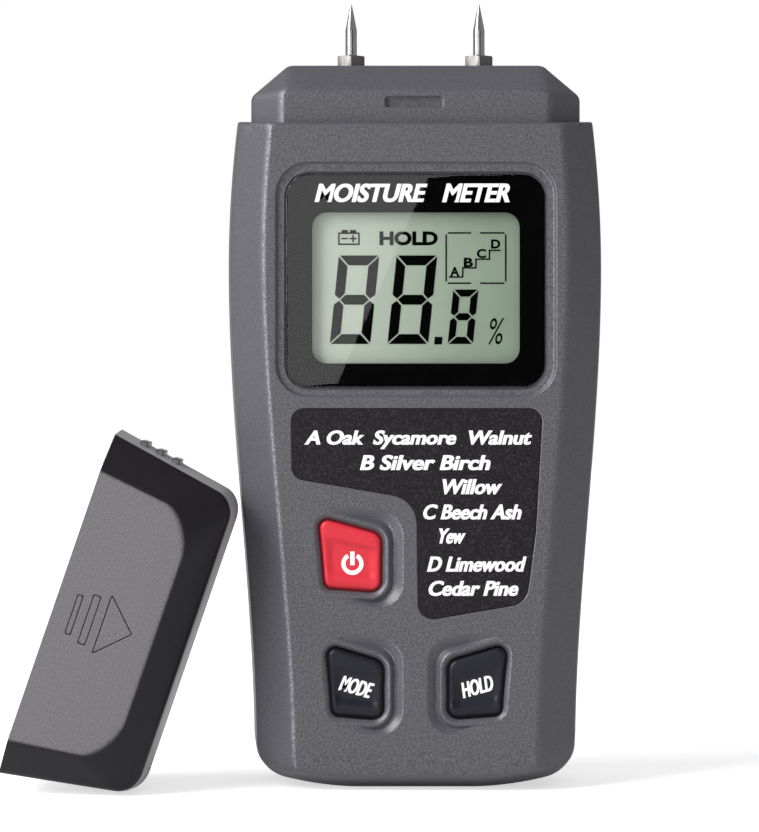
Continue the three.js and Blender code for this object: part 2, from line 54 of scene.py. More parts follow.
camera.rotation_euler = (math.pi / 2, 0, 0)
camera.data.sensor_width = 36
camera.data.lens = 124.6
camera.data.clip_start = 0.01
camera.data.clip_end = 20
bpy.context.scene.camera = camera
bpy.context.scene.view_settings.view_transform = "Standard"

# ---------------------------------------------------------------------------------------------
# Front housing. The front half of the moulded case, in grey plastic: a flat panel with a fine
# sparked grain, smooth side bevels, a drafted wall down to the parting line, and sunk seats for
# the window, the label and the three buttons. Lengths in this file are in millimetres.
# ---------------------------------------------------------------------------------------------
FRONT_Y = -16.0
REAR_Y = 17.0
PARTING_Y = 1.5
SEAM = 0.15
WALL = 2.2
MIDDLE_Z = 70.0
SHOULDER_Z = 137.8
BOTTOM_DRAFT = 3.4
LOW_HALF, MAX_HALF, TOP_HALF, WIDEST_Z = 33.5, 38.9, 37.0, 107.0
HEAD_SEAT = {"flat": 27.7, "half": 34.5, "front": -13.3, "rear": 14.3, "bevel": 5.3}


def smooth(value, low, high):
    """Rises from 0 to 1 between low and high as 3t^2 - 2t^3."""
    t = np.clip((value - low) / (high - low), 0, 1)
    return t * t * (3 - 2 * t)


def bezier(start, corner, end, steps):
    """Points of a quadratic curve that leaves start and reaches end pointing at the corner."""
    t = np.linspace(0, 1, steps)[:, None]
    start, corner, end = (np.asarray(point, float) for point in (start, corner, end))
    return (1 - t) ** 2 * start + 2 * t * (1 - t) * corner + t ** 2 * end


def least(a, b, blend):
    """The smaller of two radii, rounded over where they cross."""
    t = np.clip(0.5 + 0.5 * (b - a) / blend, 0, 1)
    return b + (a - b) * t - blend * t * (1 - t)


def half_width(z):
    """Half the width at the parting line: swells smoothly to its widest, then pulls in as a square."""
    low = LOW_HALF + (MAX_HALF - LOW_HALF) * smooth(z, 5, WIDEST_Z)
    rise = np.clip((z - WIDEST_Z) / (SHOULDER_Z - WIDEST_Z), 0, 2)
    return np.where(z > WIDEST_Z, MAX_HALF - (MAX_HALF - TOP_HALF) * rise ** 2, low)


FOOT_CURVE = np.vstack([
    [[0, 0]],
    bezier((12, 0), (19, 0.1), (26.5, 1.9), 20),
    bezier((26.5, 1.9), (31.6, 3), (33.9, 10), 20)[1:],
    [[45, 30], [90, 110]],
])


def case_ring(angles, y, inset=0.0):
    """The case's outline at depth y, by angle about its middle: the nearest of side, foot and
    shoulder along each ray, found by repeated substitution. y may differ from ray to ray."""
    y = np.broadcast_to(np.asarray(y, float), angles.shape)
    outward, upward = np.cos(angles), np.sin(angles)
    front = y < PARTING_Y
    bevel_y = np.where(front, -10.5 + 0.35 * inset, 13 - 0.35 * inset)
    face_y = np.where(front, FRONT_Y + inset, REAR_Y - inset)
    wall_part = np.clip((y - PARTING_Y) / (bevel_y - PARTING_Y), 0, 1)
    bevel_part = np.clip((y - bevel_y) / (face_y - bevel_y), 0, 1.2)
    foot_part = np.clip(np.where(front, -6.5 - y, y - 9.5) / np.where(front, 10.5, 8.5), 0, 1)
    drop = 0.8 * np.clip(np.abs(y - PARTING_Y) / 8, 0, 1) + 1.2 * foot_part
    radius = np.full(angles.shape, 60.0)
    for _ in range(30):
        x, z = np.abs(radius * outward), MIDDLE_Z + radius * upward
        panel_inset = np.where(front, 8.7 - 0.0075 * z, 5.0)
        side = half_width(z) - inset - wall_part - bevel_part * (panel_inset - 1 - 0.5 * inset)
        foot = np.interp(x, FOOT_CURVE[:, 0], FOOT_CURVE[:, 1]) + BOTTOM_DRAFT * foot_part + inset
        to_side = side / np.maximum(np.abs(outward), 1e-3)
        to_end = np.where(
            upward < 0,
            (MIDDLE_Z - foot) / np.maximum(-upward, 1e-3),
            (SHOULDER_Z - drop - inset - MIDDLE_Z) / np.maximum(upward, 1e-3),
        )
        radius = 0.5 * radius + 0.5 * least(to_side, to_end, np.where(upward < 0, 2.0, 0.8))
    return np.stack([radius * outward, y, MIDDLE_Z + radius * upward], axis=1)


def even_angles(count):
    """Ray angles that space the parting outline evenly, closer together where it turns."""
    raw = np.linspace(-math.pi, math.pi, 6001)
    ring = case_ring(raw, np.full(raw.shape, PARTING_Y))[:, [0, 2]]
    step = np.diff(ring, axis=0)
    heading = np.unwrap(np.arctan2(step[:, 1], step[:, 0]))
    weight = np.hypot(step[:, 0], step[:, 1]) + 9 * np.abs(np.diff(heading, append=heading[-1]))
    travelled = np.concatenate([[0], np.cumsum(weight)])
    return np.interp(np.linspace(0, travelled[-1], count, endpoint=False), travelled, raw)


class Skin:
    """A piece's surface, gathered patch by patch and then joined where the patches meet."""

    def __init__(self):
        self.points, self.faces, self.total = [], [], 0

    def add(self, points, faces):
        self.points.append(np.asarray(points, float).reshape(-1, 3))
        self.faces += [tuple(int(i) + self.total for i in face) for face in faces]
        self.total += len(self.points[-1])

    def patch(self, rows, closed=True):
        """Quads between neighbouring rows of points; closed joins each row's end to its start."""
        rows = np.asarray(rows, float)
        high, wide = rows.shape[:2]
        index = np.arange(high * wide).reshape(high, wide)
        if closed:
            index = np.hstack([index, index[:, :1]])
        quads = np.stack([index[:-1, :-1], index[:-1, 1:], index[1:, 1:], index[1:, :-1]], axis=-1)
        self.add(rows, quads.reshape(-1, 4))
        return self

    def fill(self, loops, inner=(), axes=(0, 2)):
        """A flat face between closed loops (holes included), cut into triangles. The third
        coordinate of each corner is its loop's own; inner gives points to include on the way."""
        flat = np.vstack([*loops, np.asarray(inner, float).reshape(-1, 3)])
        edges, start = [], 0
        for loop in loops:
            edges += [(start + i, start + (i + 1) % len(loop)) for i in range(len(loop))]
            start += len(loop)
        made = delaunay_2d_cdt([tuple(p) for p in flat[:, list(axes)]], edges, [], 1, 1e-7)
        points = flat[[origin[0] for origin in made[3]]]
        faces = np.array(made[2])
        middles = points[faces][:, :, list(axes)].mean(axis=1)
        crossings = np.zeros(len(faces), int)
        for loop in loops:
            start, end = loop[:, axes], np.roll(loop[:, axes], -1, axis=0)
            spans = (start[:, 1] > middles[:, 1:]) != (end[:, 1] > middles[:, 1:])
            rise = np.where(end[:, 1] == start[:, 1], 1, end[:, 1] - start[:, 1])
            at = start[:, 0] + (end[:, 0] - start[:, 0]) * (middles[:, 1:] - start[:, 1]) / rise
            crossings += np.sum(spans & (middles[:, :1] < at), axis=1)
        self.add(points, faces[crossings % 2 == 1])
        return self

    def piece(self, name, body, *finishes, slot=None, stands_for=(), smooth_below=40):
        """The finished object: doubles merged, faces turned outwards, soft edges shaded smooth."""
        mesh = bpy.data.meshes.new(name)
        mesh.from_pydata((np.vstack(self.points) * 0.001).tolist(), [], self.faces)
        work = bmesh.new()
        work.from_mesh(mesh)
        bmesh.ops.remove_doubles(work, verts=work.verts, dist=1.5e-6)
        bmesh.ops.dissolve_degenerate(work, edges=work.edges, dist=1e-7)
        bmesh.ops.recalc_face_normals(work, faces=work.faces)
        work.to_mesh(mesh)
        work.free()
        mesh.polygons.foreach_set("use_smooth", [True] * len(mesh.polygons))
        mesh.set_sharp_from_angle(angle=math.radians(smooth_below))
        for finish in finishes:
            mesh.materials.append(finish)
        made = bpy.data.objects.new(name, mesh)
        bpy.context.scene.collection.objects.link(made)
        if stands_for:
            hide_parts(*stands_for)
        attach(made, body)
        return made


def rounded(corners, grow=0.0, arc=8, step=2.5, plan=None):
    """A closed outline with an arc at each corner (x, z, radius), moved outwards by grow. The
    number of points depends only on the corners (or on those of plan), so outlines of one plan
    match point for point."""
    corners = np.asarray(corners, float)
    plan = corners if plan is None else np.asarray(plan, float)
    ring = corners[:, :2]
    after = np.roll(ring, -1, axis=0)
    if np.sum(ring[:, 0] * after[:, 1] - after[:, 0] * ring[:, 1]) < 0:
        return rounded(corners[::-1], grow, arc, step, plan[::-1])
    length = np.linalg.norm(after - ring, axis=1)
    along = (after - ring) / length[:, None]
    normal = np.stack([along[:, 1], -along[:, 0]], axis=1)
    before = np.roll(normal, 1, axis=0)
    mitre = (normal + before) / (1 + np.sum(normal * before, axis=1, keepdims=True))
    turn = np.arctan2(before[:, 0] * normal[:, 1] - before[:, 1] * normal[:, 0],
                      np.sum(before * normal, axis=1))
    bend = np.where(turn < 0, -1.0, 1.0)
    radius = np.maximum(corners[:, 2] + bend * grow, 0.12)
    centre = ring + grow * mitre - (bend * radius)[:, None] * mitre
    first = np.arctan2(before[:, 1], before[:, 0])
    arcs = []
    for i in range(len(corners)):
        angle = first[i] + turn[i] * np.linspace(0, 1, arc)
        spoke = np.stack([np.cos(angle), np.sin(angle)], axis=1)
        arcs.append(centre[i] + bend[i] * radius[i] * spoke)
    points = []
    for i, curve in enumerate(arcs):
        target = arcs[(i + 1) % len(arcs)][0]
        plan_length = math.dist(plan[i, :2], plan[(i + 1) % len(plan), :2])
        count = max(1, math.ceil(plan_length / step))
        t = np.arange(1, count)[:, None] / count
        points += [curve, curve[-1] * (1 - t) + target * t]
    return np.vstack(points)


def at_depth(outline, y):
    """An outline in x and z, stood up at depth y."""
    return np.stack([outline[:, 0], np.full(len(outline), float(y)), outline[:, 1]], axis=1)


def box_corners(half, low, high, radius):
    return [(-half, low, radius), (half, low, radius), (half, high, radius), (-half, high, radius)]


def moved_in(ring, distance):
    """A ring moved inwards by a distance square to its own line, each point along its own ray,
    so that it can't fold at a corner."""
    ray = np.array([0, 0, MIDDLE_Z]) - ring
    ray[:, 1] = 0
    ray /= np.linalg.norm(ray, axis=1, keepdims=True)
    ahead = np.roll(ring, -2, axis=0) - np.roll(ring, 2, axis=0)
    square = np.stack([-ahead[:, 2], np.zeros(len(ring)), ahead[:, 0]], axis=1)
    square /= np.linalg.norm(square, axis=1, keepdims=True)
    return ring + distance * ray / np.abs(np.sum(ray * square, axis=1, keepdims=True))


def eased(a, corner, b, steps):
    """Rows of a rounded edge: every point runs along its own quadratic curve from a to b."""
    t = np.linspace(0, 1, steps)[:, None, None]
    return (1 - t) ** 2 * a + 2 * t * (1 - t) * corner + t ** 2 * b


BUTTONS = {
    "power": {"x": -13.2, "z": 48.2, "width": 1.0, "side": 1},
    "mode": {"x": -12.2, "z": 22.3, "width": 0.9, "side": 1},
    "hold": {"x": 12.3, "z": 22.4, "width": 0.94, "side": -1},
}
BUTTON_CLEARANCE = 0.45
BEZEL = 1.55


def spot_corners(spot, corners):
    """Corners given about a button's centre, mirrored for a button on the other side."""
    return [(spot["x"] + spot["side"] * dx, spot["z"] + dz, r) for dx, dz, r in corners]


def button_corners(spot):
    w = spot["width"]
    return spot_corners(spot, [
        (-5.1 * w, -6.6, 1.5), (6 * w, -7.4, 2.2), (6 * w, 4.1, 2.2), (-6.4 * w, 7.5, 1.5),
    ])


def well_corners(spot):
    w = spot["width"]
    return spot_corners(spot, [
        (-6.8 * w, -9.6, 2.5), (10.8 * w, -11.3, 5), (10.8 * w, 8.4, 5), (-8 * w, 11.2, 2.5),
    ])


LABEL_CORNERS = [
    (-25, 63.9, 2.5), (0.3, 59.6, 6), (0.6, 34.8, 3), (22.3, 38.5, 4),
    (24.2, 53, 1), (25.6, 77.8, 2.5), (-25.2, 77.8, 2.5),
]
RECESS_CORNERS = box_corners(28.3, 80.4, 127.8, 6.5)
LENS_CORNERS = box_corners(26.4, 82, 125.7, 4.8)
APERTURE_CORNERS = box_corners(22.2, 86.3, 118.9, 3)
INNER_Y = FRONT_Y + WALL


def panel_lean(points):
    """The panel's lowest few millimetres lean back towards the foot, as a square."""
    points = np.array(points, float)
    low = np.clip((11 - points[..., 2]) / 8, 0, 1.2)
    near = np.clip((-12.5 - points[..., 1]) / 3.5, 0, 1)
    points[..., 1] += 0.75 * low ** 2 * near
    return points



def case_angles():
    """The rays of the case, with one more on each side just inside the head block's seat."""
    rays = even_angles(560)
    edge = math.atan2(SHOULDER_Z - MIDDLE_Z, HEAD_SEAT["half"])
    near = 0.0004
    extra = [edge - near, edge + near, math.pi - edge - near, math.pi - edge + near]
    keep = [ray for ray in rays if min(abs(ray - other) for other in extra) > 0.004]
    return np.array(sorted(keep + extra))


rays = case_angles()
case_top = case_ring(rays, PARTING_Y)
over_seat = (case_top[:, 2] > 137) & (np.abs(case_top[:, 0]) < HEAD_SEAT["half"])
seat_slope = np.clip((np.abs(case_top[:, 0]) - HEAD_SEAT["flat"])
                     / (HEAD_SEAT["half"] - HEAD_SEAT["flat"]), 0, 1)


def case_rows(start, depths, seat, inset=0.0):
    """Rows of the case from its parting line through depths; over the head block's seat the
    same rows are squeezed between the seat's edge and the last depth."""
    first = np.where(over_seat, seat, start)
    parts = (np.asarray(depths, float) - start) / (depths[-1] - start)
    return [case_ring(rays, first + (depths[-1] - first) * part, inset) for part in parts]


def case_half(skin, start, bevel, face, seat, steps):
    """One half of the case: wall, softened bevel edges, guard row on the flat face, rim and
    inner wall. Returns the rings that bound the flat outer face and the flat inner face."""
    way = 1 if face > start else -1
    wall = [start, *np.linspace(start, bevel - 0.5 * way, steps)[1:]]
    slope = list(np.linspace(bevel + 0.5 * way, face - 0.7 * way, 6))
    rows = case_rows(start, wall + [bevel] + slope, seat)
    softened = eased(rows[steps - 1], rows[steps], rows[steps + 1], 5)
    edge = case_ring(rays, face)
    ridge = eased(rows[-1], edge, moved_in(edge, 0.9), 9)
    guard = moved_in(edge, 1.05)
    outer = rows[:steps - 1] + list(softened) + rows[steps + 2:-1] + list(ridge) + [guard]
    inner_face = face - WALL * way
    inner = case_rows(start, list(np.linspace(start, inner_face, 8)), seat, WALL)
    skin.patch([panel_lean(row) for row in [inner[-1], *inner[-2::-1], *outer]])
    return panel_lean(guard), panel_lean(inner[-1])


def ramp(t, ease):
    """A straight rise that starts softly, as a square, over the first part called ease."""
    return np.where(t < ease, t * t / (2 * ease), t - ease / 2)


front = Skin()
seat_front = HEAD_SEAT["front"] + HEAD_SEAT["bevel"] * seat_slope
panel_edge, inner_edge = case_half(front, PARTING_Y - SEAM, -10.5, FRONT_Y, seat_front, 12)

recess = [at_depth(rounded(RECESS_CORNERS, grow), y) for grow, y in [
    (0.5, FRONT_Y), (0.36, FRONT_Y), (0.25, FRONT_Y + 0.03), (0.12, FRONT_Y + 0.12),
    (0.03, FRONT_Y + 0.28), (-0.05, FRONT_Y + 0.48), (-0.2, FRONT_Y + 0.63), (-0.5, FRONT_Y + 0.7),
]]
lens_seat = [at_depth(rounded(LENS_CORNERS, grow), y) for grow, y in [
    (0.55, FRONT_Y + 0.7), (0.35, FRONT_Y + 0.72), (0.25, FRONT_Y + 0.85), (0.25, FRONT_Y + 1.9),
]]
aperture = [at_depth(rounded(APERTURE_CORNERS), y) for y in (FRONT_Y + 1.9, -12.6)]
pad = [at_depth(rounded(box_corners(28.2, 80, 127.6, 5)), y) for y in (-12.6, INNER_Y)]
front.patch(recess).fill([recess[-1], lens_seat[0]]).patch(lens_seat)
front.fill([lens_seat[-1], aperture[0]]).patch(aperture).fill([aperture[-1], pad[0]]).patch(pad)

label_seat = [at_depth(rounded(LABEL_CORNERS, grow), y) for grow, y in [
    (0.5, FRONT_Y), (0.3, FRONT_Y), (0.2, FRONT_Y + 0.04), (0.15, FRONT_Y + 0.15),
    (0.15, FRONT_Y + 0.8),
]]
front.patch(label_seat).fill([label_seat[-1]])

well_rims, button_holes = [], []
for spot in BUTTONS.values():
    corners, plan = button_corners(spot), well_corners(spot)
    rim = at_depth(rounded(plan, 0.3, 12, 1.0), FRONT_Y)
    edge = at_depth(rounded(plan, 0.0, 12, 1.0), FRONT_Y)
    crest = at_depth(rounded(corners, BEZEL, 12, 1.0, plan), FRONT_Y)
    room = np.linalg.norm(edge - crest, axis=1)
    inboard = spot["side"] * (edge[:, 0] - spot["x"])
    deep = 1.15 * smooth(room, 0.9, 3.2) * smooth(inboard, -8, 4)
    rows = [rim]
    for t in np.concatenate([np.linspace(0, 0.2, 6), np.linspace(0.26, 0.94, 13), [0.97, 1.0]]):
        row = edge + (crest - edge) * t
        row[:, 1] += deep * least(ramp(t, 0.12) / 0.62, ramp(1 - t, 0.1) / 0.3, 0.2)
        rows.append(row)
    for grow, drop in [(1.35, 0.02), (1.1, 0.12), (0.85, 0.3), (0.65, 0.48), (0.5, 0.62),
                       (BUTTON_CLEARANCE, 0.8), (BUTTON_CLEARANCE, WALL)]:
        rows.append(at_depth(rounded(corners, grow, 12, 1.0, plan), FRONT_Y + drop))
    front.patch([panel_lean(row) for row in rows])
    well_rims.append(rows[0])
    button_holes.append(rows[-1])

lean_grid = np.array([[x, FRONT_Y, z] for z in (5, 6.2, 7.4, 8.6, 9.8) for x in range(-20, 21, 4)])
front.fill([panel_edge, recess[0], label_seat[0], *well_rims], panel_lean(lean_grid))
front.fill([inner_edge, pad[-1], *button_holes])


class Value:
    """One value on a material's node tree. Arithmetic on it adds the Math nodes."""

    def __init__(self, finish, socket):
        self.finish, self.socket = finish, socket

    def maths(self, operation, *terms, clamp=False):
        settings = {"operation": operation, "use_clamp": clamp}
        return self.finish.node("ShaderNodeMath", settings, dict(enumerate(terms)))

    def __add__(self, other):
        return self.maths("ADD", self, other)

    def __radd__(self, other):
        return self.maths("ADD", other, self)

    def __sub__(self, other):
        return self.maths("SUBTRACT", self, other)

    def __rsub__(self, other):
        return self.maths("SUBTRACT", other, self)

    def __mul__(self, other):
        return self.maths("MULTIPLY", self, other)

    def __rmul__(self, other):
        return self.maths("MULTIPLY", other, self)

    def between(self, low, high):
        """0 up to low, 1 from high on, straight between."""
        settings = {"interpolation_type": "SMOOTHSTEP"}
        return self.finish.node("ShaderNodeMapRange", settings, {0: self, 1: low, 2: high})


class Finish:
    """A material being made, in Object coordinates."""

    def __init__(self, name, colour, roughness, metallic=0.0):
        self.material = bpy.data.materials.new(name)
        self.material.use_nodes = True
        self.tree = self.material.node_tree
        self.shader = self.tree.nodes["Principled BSDF"]
        self.set(**{"Base Color": (*colour, 1), "Roughness": roughness, "Metallic": metallic})
        self.place = self.node("ShaderNodeTexCoord", output="Object")

    def node(self, kind, settings=None, inputs=None, output=0):
        """Adds a node: its settings first, then the values or links of its sockets."""
        made = self.tree.nodes.new(kind)
        for key, value in (settings or {}).items():
            setattr(made, key, value)
        for key, value in (inputs or {}).items():
            self.feed(made.inputs[key], value)
        return Value(self, made.outputs[output])

    def feed(self, socket, value):
        if isinstance(value, Value):
            self.tree.links.new(value.socket, socket)
        else:
            socket.default_value = value

    def set(self, **inputs):
        for key, value in inputs.items():
            self.feed(self.shader.inputs[key], value)

    def noise(self, size, detail=2.0, roughness=0.5):
        """Soft noise whose lumps are about size millimetres across."""
        inputs = {"Vector": self.place, "Scale": 1000 / size, "Detail": detail, "Roughness": roughness}
        return self.node("ShaderNodeTexNoise", None, inputs)

    def mix(self, amount, first, second):
        """The first colour where amount is 0 and the second where it is 1."""
        first, second = ((*shade, 1) if isinstance(shade, tuple) else shade for shade in (first, second))
        return self.node("ShaderNodeMix", {"data_type": "RGBA"}, {0: amount, 6: first, 7: second}, output=2)

    def axis(self, index):
        return self.node("ShaderNodeSeparateXYZ", None, {0: self.place}, output=index)

    def facing(self, index):
        """How much the surface faces along one axis, -1 to 1."""
        normal = self.node("ShaderNodeTexCoord", output="Normal")
        return self.node("ShaderNodeSeparateXYZ", None, {0: normal}, output=index)

    def bump(self, height, depth, strength=1.0):
        """A bump depth millimetres deep where height goes from 0 to 1."""
        inputs = {"Height": height, "Distance": depth * 0.001, "Strength": strength}
        self.set(Normal=self.node("ShaderNodeBump", None, inputs))


def sparked_plastic(name, panel, bevel, panel_roughness, bevel_roughness, painted_light_walls=None,
                    grain=0.42, depth=0.03, contrast=0.3, sheen=0.5):
    """Moulded plastic whose flat front and rear faces carry a spark-eroded grain, while the
    bevels turned away from them are smooth satin of a second shade, and the wall faces, where
    given, a painted light of a third. The ridge between a flat face and a bevel facing left
    is painted lighter, a painted highlight."""
    finish = Finish(name, panel, panel_roughness)
    finish.set(**{"Specular IOR Level": sheen})
    turned = finish.facing(1).maths("ABSOLUTE", finish.facing(1))
    flat = turned.between(0.93, 0.995)
    lumps = finish.noise(grain, 3.0, 0.6)
    cloud = finish.noise(14.0, 2.0)
    speck = finish.noise(grain, 2.0).between(0.35, 0.65)
    light = tuple(value * (1 + contrast) for value in panel)
    dark = tuple(value * (1 - contrast) for value in panel)
    grained = finish.mix(speck, dark, light)
    satin = finish.mix(speck, tuple(v * 0.88 for v in bevel), tuple(v * 1.12 for v in bevel))
    # Faces turned side-on take the wall colour given here, which stands in for painted light.
    if painted_light_walls:
        satin = finish.mix(1 - turned.between(0.2, 0.35), satin, painted_light_walls)
    # Painted highlight: the ridge where a flat face turns into a bevel facing left is painted up to three
    # times lighter, as if caught by the light from the left.
    left = 1 - finish.facing(0).between(-0.30, -0.08)
    ridge = turned.between(0.88, 0.95) * (1 - turned.between(0.975, 0.998)) * left
    painted_ridge_highlight = finish.mix(speck, tuple(value * 1.2 for value in bevel), tuple(value * 3.2 for value in bevel))
    finish.set(**{"Base Color": finish.mix(ridge, finish.mix(flat, satin, grained), painted_ridge_highlight)})
    finish.set(Roughness=flat * (panel_roughness - bevel_roughness) + bevel_roughness + 0.06 * (cloud - 0.5))
    finish.bump(lumps * (flat * 0.85 + 0.15), depth)
    return finish.material


case_grey = sparked_plastic("case_grey_plastic", (0.078, 0.077, 0.087), (0.076, 0.075, 0.087), 0.50, 0.36)
front.piece("front_housing_shell", "meter", case_grey, slot="case_grey",
            stands_for=["front_housing"])

# ---------------------------------------------------------------------------------------------
# Rear housing. The rear half of the case in the same plastic, with a flat back, the sunk seat
# of the battery door, the battery's bay and four screw wells.
# ---------------------------------------------------------------------------------------------
rear = Skin()
seat_rear = HEAD_SEAT["rear"] - HEAD_SEAT["bevel"] * seat_slope
back_edge, back_inner = case_half(rear, PARTING_Y + SEAM, 13.0, REAR_Y, seat_rear, 11)
DOOR_SEAT = [
    (-14.4, 4.9, 0.4), (14.4, 4.9, 0.4), (14.4, 8.1, 0.4), (18.6, 8.1, 0.8), (18.6, 69.3, 1.5),
    (6.4, 69.3, 0.6), (6.4, 73.5, 2.5), (-6.4, 73.5, 2.5), (-6.4, 69.3, 0.6), (-18.6, 69.3, 1.5),
    (-18.6, 8.1, 0.8), (-14.4, 8.1, 0.4),
]
door_seat = [at_depth(rounded(DOOR_SEAT, grow), y) for grow, y in [
    (0.5, REAR_Y), (0.3, REAR_Y), (0.12, REAR_Y - 0.06), (0, REAR_Y - 0.3), (0, 14.7),
]]
bay = [at_depth(rounded(box_corners(14.4, 10, 66, 0.8), grow), y) for grow, y in [
    (0.25, 14.7), (0, 14.45), (0, -2.7),
]]
bay_wall = [at_depth(rounded(box_corners(15.9, 8.5, 67.5, 1.2)), y) for y in (12.6, -4.2)]
door_frame = [at_depth(rounded(box_corners(19.4, 5.05, 75.5, 1.5)), y) for y in (12.6, REAR_Y - WALL)]
rear.patch(door_seat).fill([door_seat[-1], bay[0]]).patch(bay).fill([bay[-1]])
rear.patch(bay_wall).fill([bay_wall[-1]]).fill([bay_wall[0], door_frame[0]]).patch(door_frame)

CASE_SCREWS = {"lower_left": (-23.6, 14), "lower_right": (23.6, 14),
               "upper_left": (-28.6, 126), "upper_right": (28.6, 126)}


def circle(x, z, radius, count=28):
    """A ring of even points about a centre in x and z."""
    turn = np.linspace(0, 2 * math.pi, count, endpoint=False)
    return np.stack([x + radius * np.cos(turn), z + radius * np.sin(turn)], axis=1)


screw_rims, screw_floors = [], []
for x, z in CASE_SCREWS.values():
    rows = [at_depth(circle(x, z, radius), y) for radius, y in [
        (3.4, REAR_Y), (3.3, REAR_Y), (3.16, REAR_Y - 0.06), (3.1, REAR_Y - 0.2), (3.1, 8.7),
        (1.7, 8.7), (1.7, 6.9), (3.42, 6.9), (3.42, REAR_Y - WALL),
    ]]
    rear.patch(rows)
    screw_rims.append(rows[0])
    screw_floors.append(rows[-1])
rear.fill([back_edge, door_seat[0], *screw_rims])
rear.fill([back_inner, door_frame[-1], *screw_floors])
rear.piece("rear_housing_shell", "meter", case_grey, slot="case_grey", stands_for=["rear_housing"])

# ---------------------------------------------------------------------------------------------
# Head block. A separate chamfered block of the same plastic that carries the pins and drops
# into the case's shoulder; a shallow slot in its front catches the pin cap.
# ---------------------------------------------------------------------------------------------
HEAD = {"flat": 27.4, "half": 33.8, "front": -13.0, "rear": 14.0, "bevel_y": 5.0,
        "top": 148.5, "bevel_z": 143.0, "seat": 131.0}
SLOT_CORNERS = [(-6.2, 139.4, 0.5), (5.6, 139.4, 0.5), (5.6, 141.5, 0.5), (-6.2, 141.5, 0.5)]


def head_ring(angles, y):
    """The block's outline at depth y, from its foot on one side over the top to the other: the
    nearest of side, top and sloping corner along each ray."""
    depth = min(y - HEAD["front"], HEAD["rear"] - y)
    part = np.clip(depth / HEAD["bevel_y"], 0, 1)
    half = HEAD["flat"] + (HEAD["half"] - HEAD["flat"]) * part
    top = HEAD["bevel_z"] + (HEAD["top"] - HEAD["bevel_z"]) * part - HEAD["seat"]
    corner_low = (half, 142.3 - HEAD["seat"] - 0.3 * part)
    corner_high = (HEAD["flat"] - 0.9 - 0.4 * part, top)
    across, up = np.abs(np.cos(angles)), np.maximum(np.sin(angles), 1e-6)
    to_side = half / np.maximum(across, 1e-6)
    to_top = top / up
    slope = np.array([corner_high[1] - corner_low[1], corner_low[0] - corner_high[0]])
    reach = slope @ np.array(corner_low)
    to_corner = reach / np.maximum(slope[0] * across + slope[1] * up, 1e-6)
    radius = least(least(to_side, to_top, 0.6), to_corner, 0.9)
    z = HEAD["seat"] + radius * np.sin(angles)
    return np.stack([radius * np.cos(angles), np.full(angles.shape, y), z], axis=1)


head = Skin()
head_raw = np.linspace(math.pi, 0, 3001)
head_mid = head_ring(head_raw, 0.0)
head_step = np.diff(head_mid[:, [0, 2]], axis=0)
head_heading = np.unwrap(np.arctan2(head_step[:, 1], head_step[:, 0]))
head_weight = np.hypot(*head_step.T) + 10 * np.abs(np.diff(head_heading, append=head_heading[-1]))
head_travel = np.concatenate([[0], np.cumsum(head_weight)])
head_rays = np.interp(np.linspace(0, head_travel[-1], 200), head_travel, head_raw)
bevel_end = HEAD["front"] + HEAD["bevel_y"]
rear_bevel = HEAD["rear"] - HEAD["bevel_y"]


def drawn_in(ring, distance, foot=0.0):
    """An open ring moved towards the middle of its foot line, square to its own line."""
    ray = np.array([0, 0, foot]) - ring
    ray[:, 1] = 0
    ray /= np.linalg.norm(ray, axis=1, keepdims=True)
    ahead = np.gradient(ring, axis=0)
    square = np.stack([-ahead[:, 2], np.zeros(len(ring)), ahead[:, 0]], axis=1)
    square /= np.linalg.norm(square, axis=1, keepdims=True)
    moved = ring + distance * ray / np.maximum(np.abs(np.sum(ray * square, axis=1, keepdims=True)), 0.2)
    moved[[0, -1], 2] = foot
    return moved


def head_face(y, way):
    """Rows of the rounded edge from the bevel on to the flat face, with its guard row."""
    back = head_ring(head_rays, y - 0.8 * way)
    edge = head_ring(head_rays, y)
    inner, guard = (drawn_in(edge, distance, HEAD["seat"]) for distance in (0.9, 1.1))
    return [*eased(back, edge, inner, 8), guard]


front_rows = head_face(HEAD["front"], -1)[::-1]
rear_rows = head_face(HEAD["rear"], 1)
front_bevel = [head_ring(head_rays, y) for y in np.linspace(HEAD["front"] + 1.4, bevel_end - 0.7, 5)]
front_turn = eased(head_ring(head_rays, bevel_end - 0.6), head_ring(head_rays, bevel_end),
                   head_ring(head_rays, bevel_end + 0.6), 6)
rear_turn = eased(head_ring(head_rays, rear_bevel - 0.6), head_ring(head_rays, rear_bevel),
                  head_ring(head_rays, rear_bevel + 0.6), 6)
middle = [head_ring(head_rays, y) for y in np.linspace(bevel_end + 1.2, rear_bevel - 1.2, 8)]
rear_slope = [head_ring(head_rays, y) for y in np.linspace(rear_bevel + 1.2, HEAD["rear"] - 1.4, 5)]
head_rows = np.array([*front_rows, *front_bevel, *front_turn, *middle, *rear_turn, *rear_slope, *rear_rows])
head.patch(head_rows, closed=False)
slot_rows = [at_depth(rounded(SLOT_CORNERS, grow, 6, 1.0), y) for grow, y in [
    (0.35, HEAD["front"]), (0.18, HEAD["front"]), (0.05, HEAD["front"] + 0.06), (0, HEAD["front"] + 0.2),
    (0, HEAD["front"] + 0.8), (-0.3, HEAD["front"] + 0.9),
]]
head.patch(slot_rows).fill([slot_rows[-1]])
head.fill([head_rows[0], slot_rows[0]]).fill([head_rows[-1]])
head.fill([np.vstack([head_rows[:, 0], head_rows[::-1, -1]])], axes=(0, 1))
head.piece("head_block", "meter", case_grey, slot="case_grey", stands_for=["electrode_head"])

